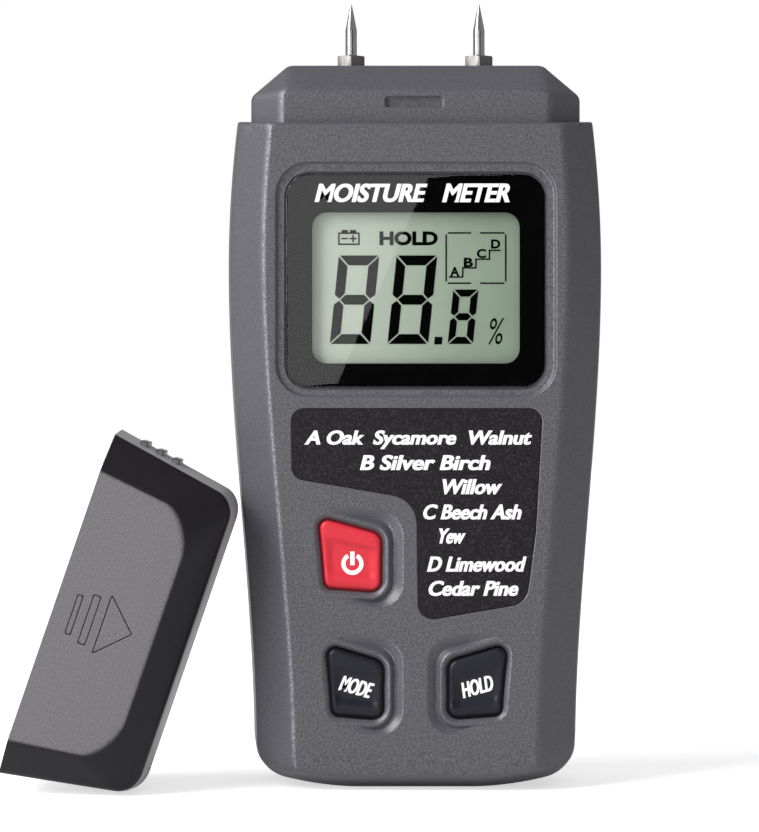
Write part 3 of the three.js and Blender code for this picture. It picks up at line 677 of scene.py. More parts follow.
# ---------------------------------------------------------------------------------------------
# Pins. Two turned steel needles, each on a hexagonal nut with chamfered corners that is screwed
# down on a thin washer. The needle is brighter than the nut.
# ---------------------------------------------------------------------------------------------
PIN_X = 13.3
PIN_PROFILE = [(0, 137.5), (1.1, 137.5), (1.5, 137.9), (1.5, 151.3), (1.35, 151.5), (1.2, 151.6), (1.2, 153),
               (1.2, 156.6), (1.14, 157), (0.95, 158), (0.6, 159.8), (0.3, 161.3), (0.14, 162),
               (0.05, 162.13), (0, 162.15)]
NUT_PROFILE = [(1.2, 148.75), (2.6, 148.75), (2.8, 148.95), (2.8, 150.95), (2.55, 151.2), (1.2, 151.2)]
WASHER_PROFILE = [(1.7, 148.4), (2.9, 148.4), (3.0, 148.5), (3.0, 148.72), (2.95, 148.78), (1.7, 148.78)]


def turned(profile, x, sides=48, flats=0, y=0.0):
    """Rows of a profile (radius, height) carried round a vertical axis. With flats the radius is
    also held inside that many flat faces, so that round chamfers cut their corners."""
    turn = np.linspace(0, 2 * math.pi, sides, endpoint=False)
    rows = []
    for radius, z in profile:
        reach = np.full(sides, float(radius))
        if flats:
            sector = (turn + math.pi / flats) % (2 * math.pi / flats) - math.pi / flats
            limit = 2.8 / np.cos(sector)
            reach = np.where(radius > 2, np.minimum(limit, 1.13 * radius), reach)
        rows.append(np.stack([x + reach * np.cos(turn), y + reach * np.sin(turn), np.full(sides, z)], 1))
    return rows


steel = Finish("bright_steel", (0.50, 0.48, 0.48), 0.2, 1.0)
turning = steel.node("ShaderNodeTexWave", {"wave_type": "BANDS", "bands_direction": "Z"},
                     {"Vector": steel.place, "Scale": 1400, "Distortion": 0.4}, output=1)
steel.set(Roughness=0.16 + 0.12 * turning)
steel.bump(turning, 0.004)
nickel = Finish("nickel_plate", (0.20, 0.19, 0.19), 0.3, 1.0)
nickel_cloud = nickel.noise(2.2, 3.0)
nickel.set(Roughness=0.32 + 0.2 * nickel_cloud)
nickel.bump(nickel.noise(0.3), 0.006)
for side, x in (("left", -PIN_X), ("right", PIN_X)):
    pin = Skin()
    pin.patch(turned(PIN_PROFILE, x))
    pin.piece(f"pin_needle_{side}", "meter", steel.material, slot="steel",
              stands_for=[f"electrode_pin_{side}"])
    nut = Skin()
    nut.patch(turned(NUT_PROFILE + NUT_PROFILE[:1], x, flats=6))
    nut.patch(turned(WASHER_PROFILE + WASHER_PROFILE[:1], x))
    nut.piece(f"pin_nut_{side}", "meter", nickel.material, slot="nickel", smooth_below=30)

# ---------------------------------------------------------------------------------------------
# Window. A clear acrylic lens flush in its sunk seat, printed black behind round a clear
# opening, with the meter's title in white.
# ---------------------------------------------------------------------------------------------
LENS_FRONT = FRONT_Y + 0.65
LENS_BACK = LENS_FRONT + 1.05
OPENING_CORNERS = box_corners(21.1, 87.1, 117.8, 3.0)

lens = Skin()
lens_rows = [at_depth(rounded(LENS_CORNERS, grow), y) for grow, y in [
    (-1.0, LENS_FRONT), (-0.5, LENS_FRONT), (-0.25, LENS_FRONT + 0.01), (-0.1, LENS_FRONT + 0.06),
    (-0.02, LENS_FRONT + 0.18),
    (0, LENS_FRONT + 0.3), (0, LENS_BACK),
]]
lens.fill([lens_rows[0]]).patch(lens_rows).fill([lens_rows[-1]])
clear = Finish("clear_acrylic", (0.02, 0.02, 0.022), 0.03)
gloss = clear.node("ShaderNodeBsdfGlossy", None, {"Color": (1, 1, 1, 1), "Roughness": 0.015})
through = clear.node("ShaderNodeBsdfTransparent", None, {"Color": (0.97, 0.98, 0.97, 1)})
outer = 1 - clear.node("ShaderNodeNewGeometry", output="Backfacing")
mirror = outer * clear.node("ShaderNodeFresnel", None, {"IOR": 1.45})
lens_mix = clear.node("ShaderNodeMixShader", None, {0: mirror, 1: through, 2: gloss})
clear.tree.links.new(lens_mix.socket, clear.tree.nodes["Material Output"].inputs["Surface"])
clear.tree.nodes.remove(clear.shader)
lens.piece("window_lens_clear", "meter", clear.material, slot="lens_black", stands_for=["window_lens"])

black_print = Finish("black_print", (0.002, 0.002, 0.002), 0.6)
black_print.set(**{"Roughness": 0.5 + 0.2 * black_print.noise(0.8), "Specular IOR Level": 0.0})
border = Skin()
border_rows = [at_depth(rounded(LENS_CORNERS, -0.15), LENS_BACK + y) for y in (0.10, 0.04)]
opening_rows = [at_depth(rounded(OPENING_CORNERS), LENS_BACK + y) for y in (0.04, 0.10)]
border.patch(border_rows).fill([border_rows[1], opening_rows[0]]).patch(opening_rows)
border.fill([opening_rows[1], border_rows[0]])
border.piece("window_border_print", "meter", black_print.material, slot="frame_black")


def lettering(words, left, right, low, high, y, lean=0.0, weight=0.0, thick=0.02, tilt=0.0):
    """Points and faces of upright words drawn in the plain built-in letters: stretched to fill
    the given width and height, leant by a shear, and turned about their middle by a tilt."""
    curve = bpy.data.curves.new("letters", "FONT")
    curve.body = words
    curve.offset = weight
    curve.extrude = 0.01
    curve.resolution_u = 4
    holder = bpy.data.objects.new("letters", curve)
    bpy.context.scene.collection.objects.link(holder)
    mesh = bpy.data.meshes.new_from_object(holder.evaluated_get(bpy.context.evaluated_depsgraph_get()))
    flat = np.empty(len(mesh.vertices) * 3)
    mesh.vertices.foreach_get("co", flat)
    flat = flat.reshape(-1, 3)
    faces = [tuple(polygon.vertices) for polygon in mesh.polygons]
    bpy.data.objects.remove(holder)
    bpy.data.curves.remove(curve)
    bpy.data.meshes.remove(mesh)
    size = np.ptp(flat, axis=0)
    part = (flat - flat.min(axis=0)) / size
    tall = high - low
    x = part[:, 0] * (right - left - lean * tall) + lean * tall * part[:, 1]
    x, z = x - (right - left) / 2, (part[:, 1] - 0.5) * tall
    turned_x = x * math.cos(tilt) - z * math.sin(tilt) + (left + right) / 2
    turned_z = x * math.sin(tilt) + z * math.cos(tilt) + (low + high) / 2
    return np.stack([turned_x, y - thick * part[:, 2], turned_z], axis=1), faces


white_print = Finish("white_print", (0.86, 0.86, 0.86), 0.45)
white_print.set(Roughness=0.4 + 0.15 * white_print.noise(0.5))
PRINT_LEAN, PRINT_WEIGHT = 0.25, 0.025
TITLE_HEIGHTS = (119.8, 123.6)
title = Skin()
for words, left, right in (("MOISTURE", -20.6, 2.2), ("METER", 5.3, 19.8)):
    for shift in (0, 0.2):
        y = LENS_FRONT - 0.1 * shift
        title.add(*lettering(words, left + shift, right + shift, *TITLE_HEIGHTS, y,
                             PRINT_LEAN, PRINT_WEIGHT))
title.piece("window_title_print", "meter", white_print.material, slot="lens_black")

# ---------------------------------------------------------------------------------------------
# Display. A grey-green reflective display glass with dark segments: battery sign, HOLD, the
# wood group letters on their steps, three digits, a point and a percent sign.
# ---------------------------------------------------------------------------------------------
DISPLAY_FRONT = -12.4


def solid_plate(skin, outline, y_front, y_back):
    """A flat shape given a small thickness."""
    rows = [at_depth(np.asarray(outline, float), y) for y in (y_front, y_back)]
    skin.patch(rows).fill([rows[0]]).fill([rows[1]])


def stroke(points, width):
    """Outlines of thin upright bars along a stepped line."""
    bars = []
    for (x0, z0), (x1, z1) in zip(points[:-1], points[1:]):
        half = width / 2
        low_x, high_x = min(x0, x1) - half, max(x0, x1) + half
        low_z, high_z = min(z0, z1) - half, max(z0, z1) + half
        bars.append([(low_x, low_z), (high_x, low_z), (high_x, high_z), (low_x, high_z)])
    return bars


def digit(left, low, wide, tall, bar, lean):
    """The seven bars of an eight, with mitred ends, leaning to the right."""
    gap, half, middle = 0.22, bar / 2, tall / 2
    top = [(gap, tall), (wide - gap, tall), (wide - gap - bar, tall - bar), (gap + bar, tall - bar)]
    centre = [(half + gap, middle), (bar + gap, middle + half), (wide - bar - gap, middle + half),
              (wide - half - gap, middle), (wide - bar - gap, middle - half), (bar + gap, middle - half)]
    upper = [(0, tall - gap), (bar, tall - bar - gap), (bar, middle + half + gap), (half, middle + gap),
             (0, middle + half)]
    left_bars = [upper, [(x, tall - z) for x, z in upper]]
    bars = [top, [(x, tall - z) for x, z in top], centre, *left_bars]
    bars += [[(wide - x, z) for x, z in points] for points in left_bars]
    return [[(left + x + lean * z / tall, low + z) for x, z in points] for points in bars]


ink_shapes = digit(-17.56, 91.1, 8.25, 18.05, 2.0, 1.87)
ink_shapes += digit(-5.78, 91.1, 8.3, 18.05, 2.0, 1.87)
ink_shapes += digit(6.5, 91.1, 5.15, 11.1, 1.45, 1.15)
ink_shapes += [[(3.75, 91.0), (5.35, 91.0), (5.45, 92.55), (3.85, 92.55)]]
ink_shapes += stroke([(-15.7, 111.45), (-15.7, 113.7)], 0.3) + stroke([(-11.6, 111.45), (-11.6, 113.7)], 0.3)
ink_shapes += stroke([(-15.7, 111.45), (-11.6, 111.45)], 0.3) + stroke([(-15.7, 113.7), (-11.6, 113.7)], 0.3)
ink_shapes += stroke([(-14.9, 114.1), (-14.1, 114.1)], 0.5) + stroke([(-13.2, 114.1), (-12.4, 114.1)], 0.5)
ink_shapes += stroke([(-15.1, 112.6), (-14.0, 112.6)], 0.3)
ink_shapes += stroke([(-13.4, 112.6), (-12.2, 112.6)], 0.3) + stroke([(-12.8, 112.0), (-12.8, 113.2)], 0.3)
for z in (113.75, 103.5):
    ink_shapes += stroke([(6.7, z), (11.15, z)], 0.3) + stroke([(13.27, z), (17.9, z)], 0.3)
for x in (6.2, 18.35):
    ink_shapes += stroke([(x, 104.0), (x, 113.3)], 0.3)
ink_shapes += stroke([(6.9, 104.76), (9.58, 104.76), (9.58, 106.63), (12.26, 106.63), (12.26, 108.4),
                      (15.03, 108.4), (15.03, 110.2), (17.2, 110.2)], 0.3)
ink = Skin()
INK = (DISPLAY_FRONT - 0.06, DISPLAY_FRONT - 0.02)
for shape in ink_shapes:
    solid_plate(ink, shape, *INK)
ink.add(*lettering("HOLD", -7.4, 4.5, 111.2, 114.1, INK[1], 0.0, 0.045))
for letter, x, z in (("A", 7.96, 105.87), ("B", 10.74, 107.75), ("C", 13.4, 109.55), ("D", 16.3, 111.5)):
    ink.add(*lettering(letter, x - 0.95, x + 0.95, z - 0.95, z + 0.95, INK[1], 0.0, 0.04))
ink.add(*lettering("%", 14.5, 18.3, 91.0, 96.4, INK[1], 0.15, 0.0))
segment = Finish("display_segments", (0.0015, 0.002, 0.0015), 0.5)
segment.set(**{"Roughness": 0.45 + 0.1 * segment.noise(0.5), "Specular IOR Level": 0.0})
ink.piece("display_segments", "meter", segment.material, slot="lcd")

display = Finish("display_glass", (0.25, 0.31, 0.25), 0.35)
shade = display.noise(9.0, 1.0)
# The grey-green glass colour is painted lighter towards its left side, a painted reflection of the light
# from the left.
across = display.axis(0).between(-0.017, 0.020)
ground = display.mix(across, (0.450, 0.490, 0.430), (0.235, 0.295, 0.225))
display.set(**{"Base Color": display.mix(shade * 0.2, ground, (0.40, 0.45, 0.39))})
display.set(**{"Specular IOR Level": 0.05})
display.bump(display.noise(0.12), 0.002)

# ---------------------------------------------------------------------------------------------
# Label. A thin pebbled film stuck into its shallow seat, black with the wood groups in white.
# ---------------------------------------------------------------------------------------------
label = Skin()
label_rows = [at_depth(rounded(LABEL_CORNERS, grow), y) for grow, y in [
    (-0.35, FRONT_Y - 0.05), (-0.15, FRONT_Y - 0.05), (-0.03, FRONT_Y - 0.02), (0, FRONT_Y + 0.06),
    (0, FRONT_Y + 0.5),
]]
label.fill([label_rows[0]]).patch(label_rows).fill([label_rows[-1]])
film = Finish("label_film", (0.016, 0.013, 0.017), 0.5)
pebble = film.node("ShaderNodeTexVoronoi", {"feature": "F1"}, {"Vector": film.place, "Scale": 2400})
glint = film.noise(0.3, 2.0).between(0.52, 0.66)
film.set(**{"Base Color": film.mix(glint, (0.008, 0.006, 0.0085), (0.032, 0.027, 0.035))})
film.set(**{"Roughness": 0.42 + 0.2 * glint, "Specular IOR Level": 0.2})
film.bump(pebble, 0.03, 0.7)
label.piece("label_film", "meter", film.material, slot="label_black", stands_for=["label_plate"])

LABEL_LINES = [
    ("A Oak  Sycamore  Walnut", -22.9, 23.7, 71.9), ("B Silver Birch", -11.4, 15.4, 66.9),
    ("Willow", 4.6, 17.6, 62.0), ("C Beech Ash", 1.1, 21.7, 56.9), ("Yew", 3.9, 10.2, 52.0),
    ("D Limewood", 2.2, 22.3, 46.3), ("Cedar Pine", 2.2, 21.1, 41.4),
]
label_words = Skin()
STRIKE = 0.16
for words, left, right, z in LABEL_LINES:
    low = z - 1.5 - (0.7 if "y" in words else 0)
    for shift in (0, STRIKE):
        label_words.add(*lettering(words, left + shift, right + shift, low, z + 1.6,
                                   FRONT_Y - 0.05 - 0.1 * shift, PRINT_LEAN, PRINT_WEIGHT))
label_words.piece("label_print", "meter", white_print.material, slot="label_black")

# ---------------------------------------------------------------------------------------------
# Buttons. Three moulded caps with a slanted top plateau, a step down and a finger scoop; each
# stands in its hole on a flange, with a stem that presses a silicone dome on the board.
# ---------------------------------------------------------------------------------------------
BUTTON_FRONT = -16.3


def scooped(spot, ring):
    """Sinks a ring of points to the button's face: v runs from 0 at the slanted top edge to 1 at
    the bottom edge, and the depth follows a plateau, a step, a scoop and a lower lip."""
    ring = np.array(ring, float)
    w = spot["width"]
    across = spot["side"] * (ring[:, 0] - spot["x"]) / w
    up = ring[:, 2] - spot["z"]
    top = 7.5 + (across + 6.4) * (4.1 - 7.5) / 12.4
    bottom = -6.6 + (across + 5.1) * (-7.4 + 6.6) / 11.1
    v = (top - up) / (top - bottom)
    sunk = 0.85 * smooth(v, 0.22, 0.34) + 0.28 * np.sin(math.pi * np.clip((v - 0.36) / 0.46, 0, 1))
    sunk -= 0.45 * smooth(v, 0.70, 0.84)
    sunk += 0.5 * smooth(v, 0.86, 1.02)
    sides = smooth(np.abs(across), 3.4, 5.6)
    ring[:, 1] += np.clip(sunk, 0, 1) * (1 - 0.55 * sides)
    return ring


def button_piece(name, spot):
    corners = button_corners(spot)
    centre = np.array([spot["x"], BUTTON_FRONT, spot["z"]])
    edge = [at_depth(rounded(corners, grow, 10, 0.7), y) for grow, y in [
        (-0.9, BUTTON_FRONT), (-0.7, BUTTON_FRONT + 0.02), (-0.45, BUTTON_FRONT + 0.09),
        (-0.22, BUTTON_FRONT + 0.24), (-0.07, BUTTON_FRONT + 0.45), (0, BUTTON_FRONT + 0.75),
    ]]
    first = edge[0]
    inner = [centre + (first - centre) * part for part in np.linspace(0.04, 0.96, 24)]
    skirt = [at_depth(rounded(corners, grow, 10, 0.7), y) for grow, y in [
        (0, -13.5), (1.3, -13.5), (1.3, -12.7),
    ]]
    face = [scooped(spot, row) for row in inner + edge]
    face[-1][:, 1] = np.maximum(face[-1][:, 1], BUTTON_FRONT + 0.75)
    cap = Skin()
    cap.fill([face[0]]).patch(face + skirt)
    stem = [at_depth(circle(spot["x"], spot["z"], 3.0), y) for y in (-12.7, -11.6)]
    cap.fill([skirt[-1], stem[0]]).patch(stem).fill([stem[-1]])
    return cap


def sliced(points, faces, step):
    """The same solid with new edges where even planes across x and z cut it."""
    work = bmesh.new()
    corners = [work.verts.new(point) for point in points]
    for face in faces:
        work.faces.new([corners[index] for index in face])
    for axis in (0, 2):
        normal = [0, 0, 0]
        normal[axis] = 1
        for level in np.arange(points[:, axis].min() + step, points[:, axis].max(), step):
            parts = work.verts[:] + work.edges[:] + work.faces[:]
            place = [part * level for part in normal]
            bmesh.ops.bisect_plane(work, geom=parts, plane_co=place, plane_no=normal, dist=1e-4)
    work.verts.index_update()
    cut = np.array([corner.co for corner in work.verts]), [
        tuple(corner.index for corner in face.verts) for face in work.faces]
    work.free()
    return cut


def on_button(spot, points, faces):
    """Drapes a printed sign over a button's sculpted face."""
    points = np.array(points, float)
    lift = points[:, 1].copy()
    points[:, 1] = BUTTON_FRONT
    draped = scooped(spot, points)
    draped[:, 1] += lift
    return draped, faces


def ring_sign(spot, x, z, outer, inner, gap):
    """The ring of the power sign, with a gap at its top; the upright bar in the gap is made apart."""
    turn = np.linspace(math.pi / 2 + gap, 2.5 * math.pi - gap, 40)
    rows = []
    for radius, y in ((outer, -0.06), (outer, 0.02), (inner, 0.02), (inner, -0.06), (outer, -0.06)):
        rows.append(np.stack([x + radius * np.cos(turn), np.full(40, y), z + radius * np.sin(turn)], 1))
    return rows


red = Finish("red_button_plastic", (0.60, 0.028, 0.045), 0.34)
dark = Finish("dark_button_plastic", (0.011, 0.0105, 0.018), 0.36)
for finish in (red, dark):
    tone = finish.noise(3.0, 2.0)
    finish.set(**{"Roughness": 0.30 + 0.10 * tone, "Specular IOR Level": 0.25})
    finish.bump(finish.noise(0.25, 2.0), 0.006)
for name, spot in BUTTONS.items():
    paint = red if name == "power" else dark
    slot = "button_red" if name == "power" else "button_dark"
    cap = button_piece(name, spot)
    cap.piece(f"{name}_button_cap", f"{name}_key", paint.material, slot=slot, stands_for=[f"{name}_button"])
signs = {"power": Skin(), "mode": Skin(), "hold": Skin()}
power = BUTTONS["power"]
ring_rows = ring_sign(power, -12.9, 46.4, 2.25, 1.4, 0.5)
ring_grid = np.array(ring_rows)
draped_ring, _ = on_button(power, ring_grid.reshape(-1, 3), [])
ring_grid = draped_ring.reshape(ring_grid.shape)
signs["power"].patch(ring_grid, closed=False)
signs["power"].fill([ring_grid[:4, 0]], axes=(0, 1)).fill([ring_grid[:4, -1]], axes=(0, 1))
bar_rows = np.array([[[-13.35, -0.06, z], [-12.45, -0.06, z], [-12.45, 0.02, z], [-13.35, 0.02, z]]
                     for z in np.linspace(46.1, 48.9, 10)])
draped_bar = on_button(power, bar_rows.reshape(-1, 3), [])[0].reshape(bar_rows.shape)
signs["power"].patch(draped_bar).fill([draped_bar[0]], axes=(0, 1)).fill([draped_bar[-1]], axes=(0, 1))
for name, words, x, z, tilt in (("mode", "MODE", -12.1, 21.4, -0.27), ("hold", "HOLD", 12.5, 21.5, 0.27)):
    for shift in (0, 1.5 * STRIKE):
        left = x - 3.45 + shift
        marks = sliced(*lettering(words, left, left + 6.7, z - 1.6, z + 1.6,
                                  0.02 - 0.1 * shift, 0.14, 0.012, 0.10, tilt), 0.3)
        signs[name].add(*on_button(BUTTONS[name], *marks))
for name, sign in signs.items():
    sign.piece(f"{name}_sign_print", f"{name}_key", white_print.material, slot="silicone")

# ---------------------------------------------------------------------------------------------
# Domes and board. Silicone domes under the buttons, in their resting shape, the green board with
# its parts, its screws, and the display's frame, foil and contact strips.
# ---------------------------------------------------------------------------------------------
silicone = Finish("silicone_rubber", (0.62, 0.62, 0.59), 0.6)
milky = silicone.noise(1.5, 2.0)
silicone.set(**{"Base Color": silicone.mix(milky, (0.57, 0.57, 0.54), (0.68, 0.68, 0.65))})
for name, spot in BUTTONS.items():
    profile = [(2.2, -11.35), (2.8, -11.25), (3.1, -10.95), (3.25, -10.3), (3.6, -9.85),
               (4.1, -9.6), (4.2, -9.3)]
    rows = [at_depth(circle(spot["x"], spot["z"], radius, 36), y) for radius, y in profile]
    dome = Skin()
    dome.fill([rows[0]]).patch(rows).fill([rows[-1]])
    rubber = dome.piece(f"{name}_rubber_dome", "meter", silicone.material, slot="silicone",
                        stands_for=[f"{name}_dome"])
    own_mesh(rubber)


def painted(node, finish):
    """Gives a carried-over part its finish."""
    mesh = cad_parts[node].data
    mesh.materials.clear()
    mesh.materials.append(finish.material)


board = Finish("board_laminate", (0.02, 0.11, 0.045), 0.35)
tracks = board.node("ShaderNodeTexVoronoi", {"feature": "DISTANCE_TO_EDGE"},
                    {"Vector": board.place, "Scale": 420})
copper = 1 - tracks.between(0.03, 0.06)
board.set(**{"Base Color": board.mix(copper, (0.016, 0.095, 0.04), (0.04, 0.19, 0.075))})
board.bump(copper, 0.03)
painted("main_board", board)
chip = Finish("chip_epoxy", (0.018, 0.018, 0.020), 0.5)
chip.set(Roughness=0.45 + 0.15 * chip.noise(0.3))
chip.bump(chip.noise(0.2), 0.008)
for node in ("controller_chip", "amplifier_chip", "filter_capacitor", "battery_clip",
             "electrode_lead_left", "electrode_lead_right", "battery_lead_black"):
    painted(node, chip)
red_lead = Finish("red_lead", (0.55, 0.02, 0.02), 0.45)
red_lead.set(Roughness=0.4 + 0.15 * red_lead.noise(0.8))
painted("battery_lead_red", red_lead)
moulded = Finish("moulded_black", (0.030, 0.030, 0.033), 0.5)
moulded.set(Roughness=0.45 + 0.15 * moulded.noise(0.6))
moulded.bump(moulded.noise(0.25), 0.008)
painted("lcd_frame", moulded)
painted("lcd_glass", display)
for node in ("lcd_contact_upper", "lcd_contact_lower"):
    painted(node, silicone)
foil = Finish("dull_foil", (0.72, 0.72, 0.70), 0.35, 1.0)
foil.set(Roughness=0.3 + 0.15 * foil.noise(1.2))
painted("lcd_reflector", foil)
brass = Finish("brass", (0.60, 0.40, 0.15), 0.3, 1.0)
brass.set(Roughness=0.25 + 0.2 * brass.noise(1.5))
for node in ("pin_socket_left", "pin_socket_right"):
    painted(node, brass)
for node in ("crystal_can", "calibration_trimmer", "battery_positive_stud", "battery_negative_stud"):
    painted(node, nickel)
for place in ("lower_left", "lower_right", "upper_left", "upper_right"):
    painted(f"board_screw_{place}", steel)
    painted(f"case_screw_{place}", steel)

# ---------------------------------------------------------------------------------------------
# Battery. A plain 9 V block in its bay behind the door: a thin printed jacket with rounded
# corners, dark below and brass-coloured above a pale band.
# ---------------------------------------------------------------------------------------------
BATTERY = {"half": 13.25, "front": -2.4, "rear": 14.4, "low": 10.4, "high": 56.8}


def upright_ring(grow, z, radius=2.2):
    """The battery's plan outline, moved in or out, at height z."""
    middle = (BATTERY["front"] + BATTERY["rear"]) / 2
    deep = (BATTERY["rear"] - BATTERY["front"]) / 2
    half = BATTERY["half"]
    outline = rounded([(-half, middle - deep, radius), (half, middle - deep, radius),
                       (half, middle + deep, radius), (-half, middle + deep, radius)], grow, 8, 2.0)
    return np.stack([outline[:, 0], outline[:, 1], np.full(len(outline), z)], axis=1)


battery = Skin()
low, high = BATTERY["low"], BATTERY["high"]
battery_rows = [upright_ring(grow, z) for grow, z in [
    (-1.2, low + 0.3), (-0.9, low), (-0.3, low + 0.15), (0, low + 0.6), (0, 30), (0, high - 0.6),
    (-0.3, high - 0.15), (-0.9, high), (-1.2, high - 0.3),
]]
battery.fill([battery_rows[0]], axes=(0, 1)).patch(battery_rows).fill([battery_rows[-1]], axes=(0, 1))
jacket = Finish("battery_jacket", (0.02, 0.02, 0.022), 0.3)
height = jacket.axis(2)
upper = height.maths("GREATER_THAN", height, 0.0445)
band = height.maths("GREATER_THAN", height, 0.0425)
lower_tone = jacket.mix(band, (0.02, 0.02, 0.022), (0.6, 0.6, 0.6))
jacket.set(**{"Base Color": jacket.mix(upper, lower_tone, (0.62, 0.44, 0.12))})
jacket.set(Metallic=upper * 0.8, Roughness=0.28 + 0.1 * jacket.noise(2.0))
battery.piece("battery_block", "meter", jacket.material, slot="battery_shell", stands_for=["battery_case"])

# ---------------------------------------------------------------------------------------------
# Battery door. A thin plate in the case's plastic with a hinge barrel along its foot, a finger
# catch at its top and five grip ridges.
# ---------------------------------------------------------------------------------------------
DOOR = [
    (-14.1, 6.9, 0.3), (14.1, 6.9, 0.3), (14.1, 8.9, 0.3), (18.3, 8.9, 0.8), (18.3, 69, 1.2),
    (5, 69, 0.3), (5, 70, 0.5), (-5, 70, 0.5), (-5, 69, 0.3), (-18.3, 69, 1.2), (-18.3, 8.9, 0.8),
    (-14.1, 8.9, 0.3),
]
door = Skin()
door_rows = [at_depth(rounded(DOOR, grow), y) for grow, y in [
    (-0.1, 15.0), (0, 15.1), (0, 16.2), (-0.06, 16.42), (-0.2, 16.56), (-0.4, 16.6), (-0.6, 16.6),
]]
door.fill([door_rows[0]]).patch(door_rows).fill([door_rows[-1]])
for z in (57.5, 59.5, 61.5, 63.5, 65.5):
    ridge = box_corners(7, z - 0.5, z + 0.5, 0.48)
    ridge_rows = [at_depth(rounded(ridge, grow, 6, 2.0), y) for grow, y in [
        (0, 16.4), (0, 16.75), (-0.1, 16.92), (-0.25, 17.0)]]
    door.fill([ridge_rows[0]]).patch(ridge_rows).fill([ridge_rows[-1]])


def barrel_rows(profile, y, z, sides=28):
    """Rows of a profile (radius, x) carried round an axis along x."""
    turn = np.linspace(0, 2 * math.pi, sides, endpoint=False)
    return [np.stack([np.full(sides, x), y + r * np.cos(turn), z + r * np.sin(turn)], 1) for r, x in profile]


hinge_profile = [(0.7, -16), (0.8, -15.9), (0.8, -14.1), (1.0, -14.1), (1.1, -14.0), (1.1, 14.0),
                 (1.0, 14.1), (0.8, 14.1), (0.8, 15.9), (0.7, 16)]
hinge = barrel_rows(hinge_profile, 15.4, 6.3)
door.fill([hinge[0]], axes=(1, 2)).patch(hinge).fill([hinge[-1]], axes=(1, 2))
door_plastic = Finish("door_grey_plastic", (0.135, 0.134, 0.150), 0.52)
door_speck = door_plastic.noise(0.5, 1.0).between(0.42, 0.62)
door_plastic.set(**{"Base Color": door_plastic.mix(door_speck, (0.11, 0.109, 0.122), (0.172, 0.171, 0.19))})
door_plastic.bump(door_plastic.noise(0.36, 3.0, 0.6), 0.03)
door.piece("battery_door_plate", "rear_door", door_plastic.material, slot="case_grey",
           stands_for=["battery_door"])

# ---------------------------------------------------------------------------------------------
# Pin cap. A hollow moulded cap shaped like the head of the case, off the pins and leaning on
# the meter's left side: grained panels front and back, satin bevels in a near-black painted
# shade and wall faces in a pale painted light, three grip ribs on the end wall that comes to lie
# on top, and an arrow scored in its front. It is shaped upright, mouth down, and then laid over.
# ---------------------------------------------------------------------------------------------
CAP_TILT = math.radians(108.97)
CAP_MOUTH = (-72.1, -12.0)
CAP_HALF, CAP_DRAFT = 36.9, 0.1755
RIB_HALF, RIB_PROUD, RIB_SUNK = 0.85, 0.5, 1.6
CAP_TOP = ([-16.5, -14.5, -12.5, -10.5, -8, 1.5, 10, 13, 15, 17.5],
           [20.75, 22.9, 25.2, 27.0, 27.7, 28.1, 27.7, 26.6, 24.4, 21.0])


def cap_ring(angles, y, inset=0.0):
    """The cap's outline at depth y, from its mouth on one side over the closed end to the other:
    the nearest of side wall and end along each ray."""
    front_side = y < PARTING_Y
    bevel = -10.5 + 0.35 * inset if front_side else 13 - 0.35 * inset
    face = FRONT_Y + inset if front_side else REAR_Y - inset
    wall_part = np.clip((y - PARTING_Y) / (bevel - PARTING_Y), 0, 1)
    bevel_part = np.clip((y - bevel) / (face - bevel), 0, 1.1)
    top = np.interp(y, *CAP_TOP) - inset
    blend = 7 + 9 * bevel_part
    radius = np.full(angles.shape, 30.0)
    across, up = np.abs(np.cos(angles)), np.maximum(np.sin(angles), 1e-5)
    for _ in range(25):
        z = radius * up
        panel = (7.4 - 0.05 * z if front_side else 4.0) - 0.5 * inset
        side = CAP_HALF - CAP_DRAFT * z - inset - wall_part - bevel_part * panel
        radius = 0.5 * radius + 0.5 * least(side / np.maximum(across, 1e-4), top / up, blend)
    return np.stack([radius * np.cos(angles), np.full(angles.shape, y), radius * np.sin(angles)], 1)


def even_cap_rays(count):
    raw = np.linspace(math.pi, 0, 3001)
    line = cap_ring(raw, PARTING_Y)
    travel = np.concatenate([[0], np.cumsum(np.linalg.norm(np.diff(line, axis=0), axis=1))])
    return np.interp(np.linspace(0, travel[-1], count), travel, raw)


cap_rays = even_cap_rays(220)


def cap_face(y, way):
    back, edge = cap_ring(cap_rays, y - 0.8 * way), cap_ring(cap_rays, y)
    return [*eased(back, edge, drawn_in(edge, 1.1), 9), drawn_in(edge, 1.3)]


def cap_levels(*levels):
    return [cap_ring(cap_rays, y) for y in levels]


def cap_edge(y, reach=0.7):
    return list(eased(*cap_levels(y - reach, y, y + reach), 6))


cap_outer = [
    *cap_face(FRONT_Y, -1)[::-1], *cap_levels(-14.4, -13.6, -12.8, -12.0), *cap_edge(-10.5),
    *cap_levels(-9, -7, -5, -3, -1, 1.5, 4, 6.5, 9, 11), *cap_edge(13), *cap_levels(14.2, 15.0, 15.7),
    *cap_face(REAR_Y, 1),
]
cap_inner = [cap_ring(cap_rays, y, 2.0) for y in (-14, -13, -11.5, -9.8, -7, -3, 1.5, 6, 10, 12.3, 13.7, 15)]
for ring in cap_outer + cap_inner:
    ring[[0, -1], 2] = 0
cap = Skin()
cap.patch(cap_outer, closed=False).patch(cap_inner, closed=False)
cap.fill([cap_outer[-1]]).fill([cap_inner[0]]).fill([cap_inner[-1]])


def mouth_line(rows):
    rows = np.array(rows)
    return np.vstack([rows[:, 0], rows[::-1, -1]])


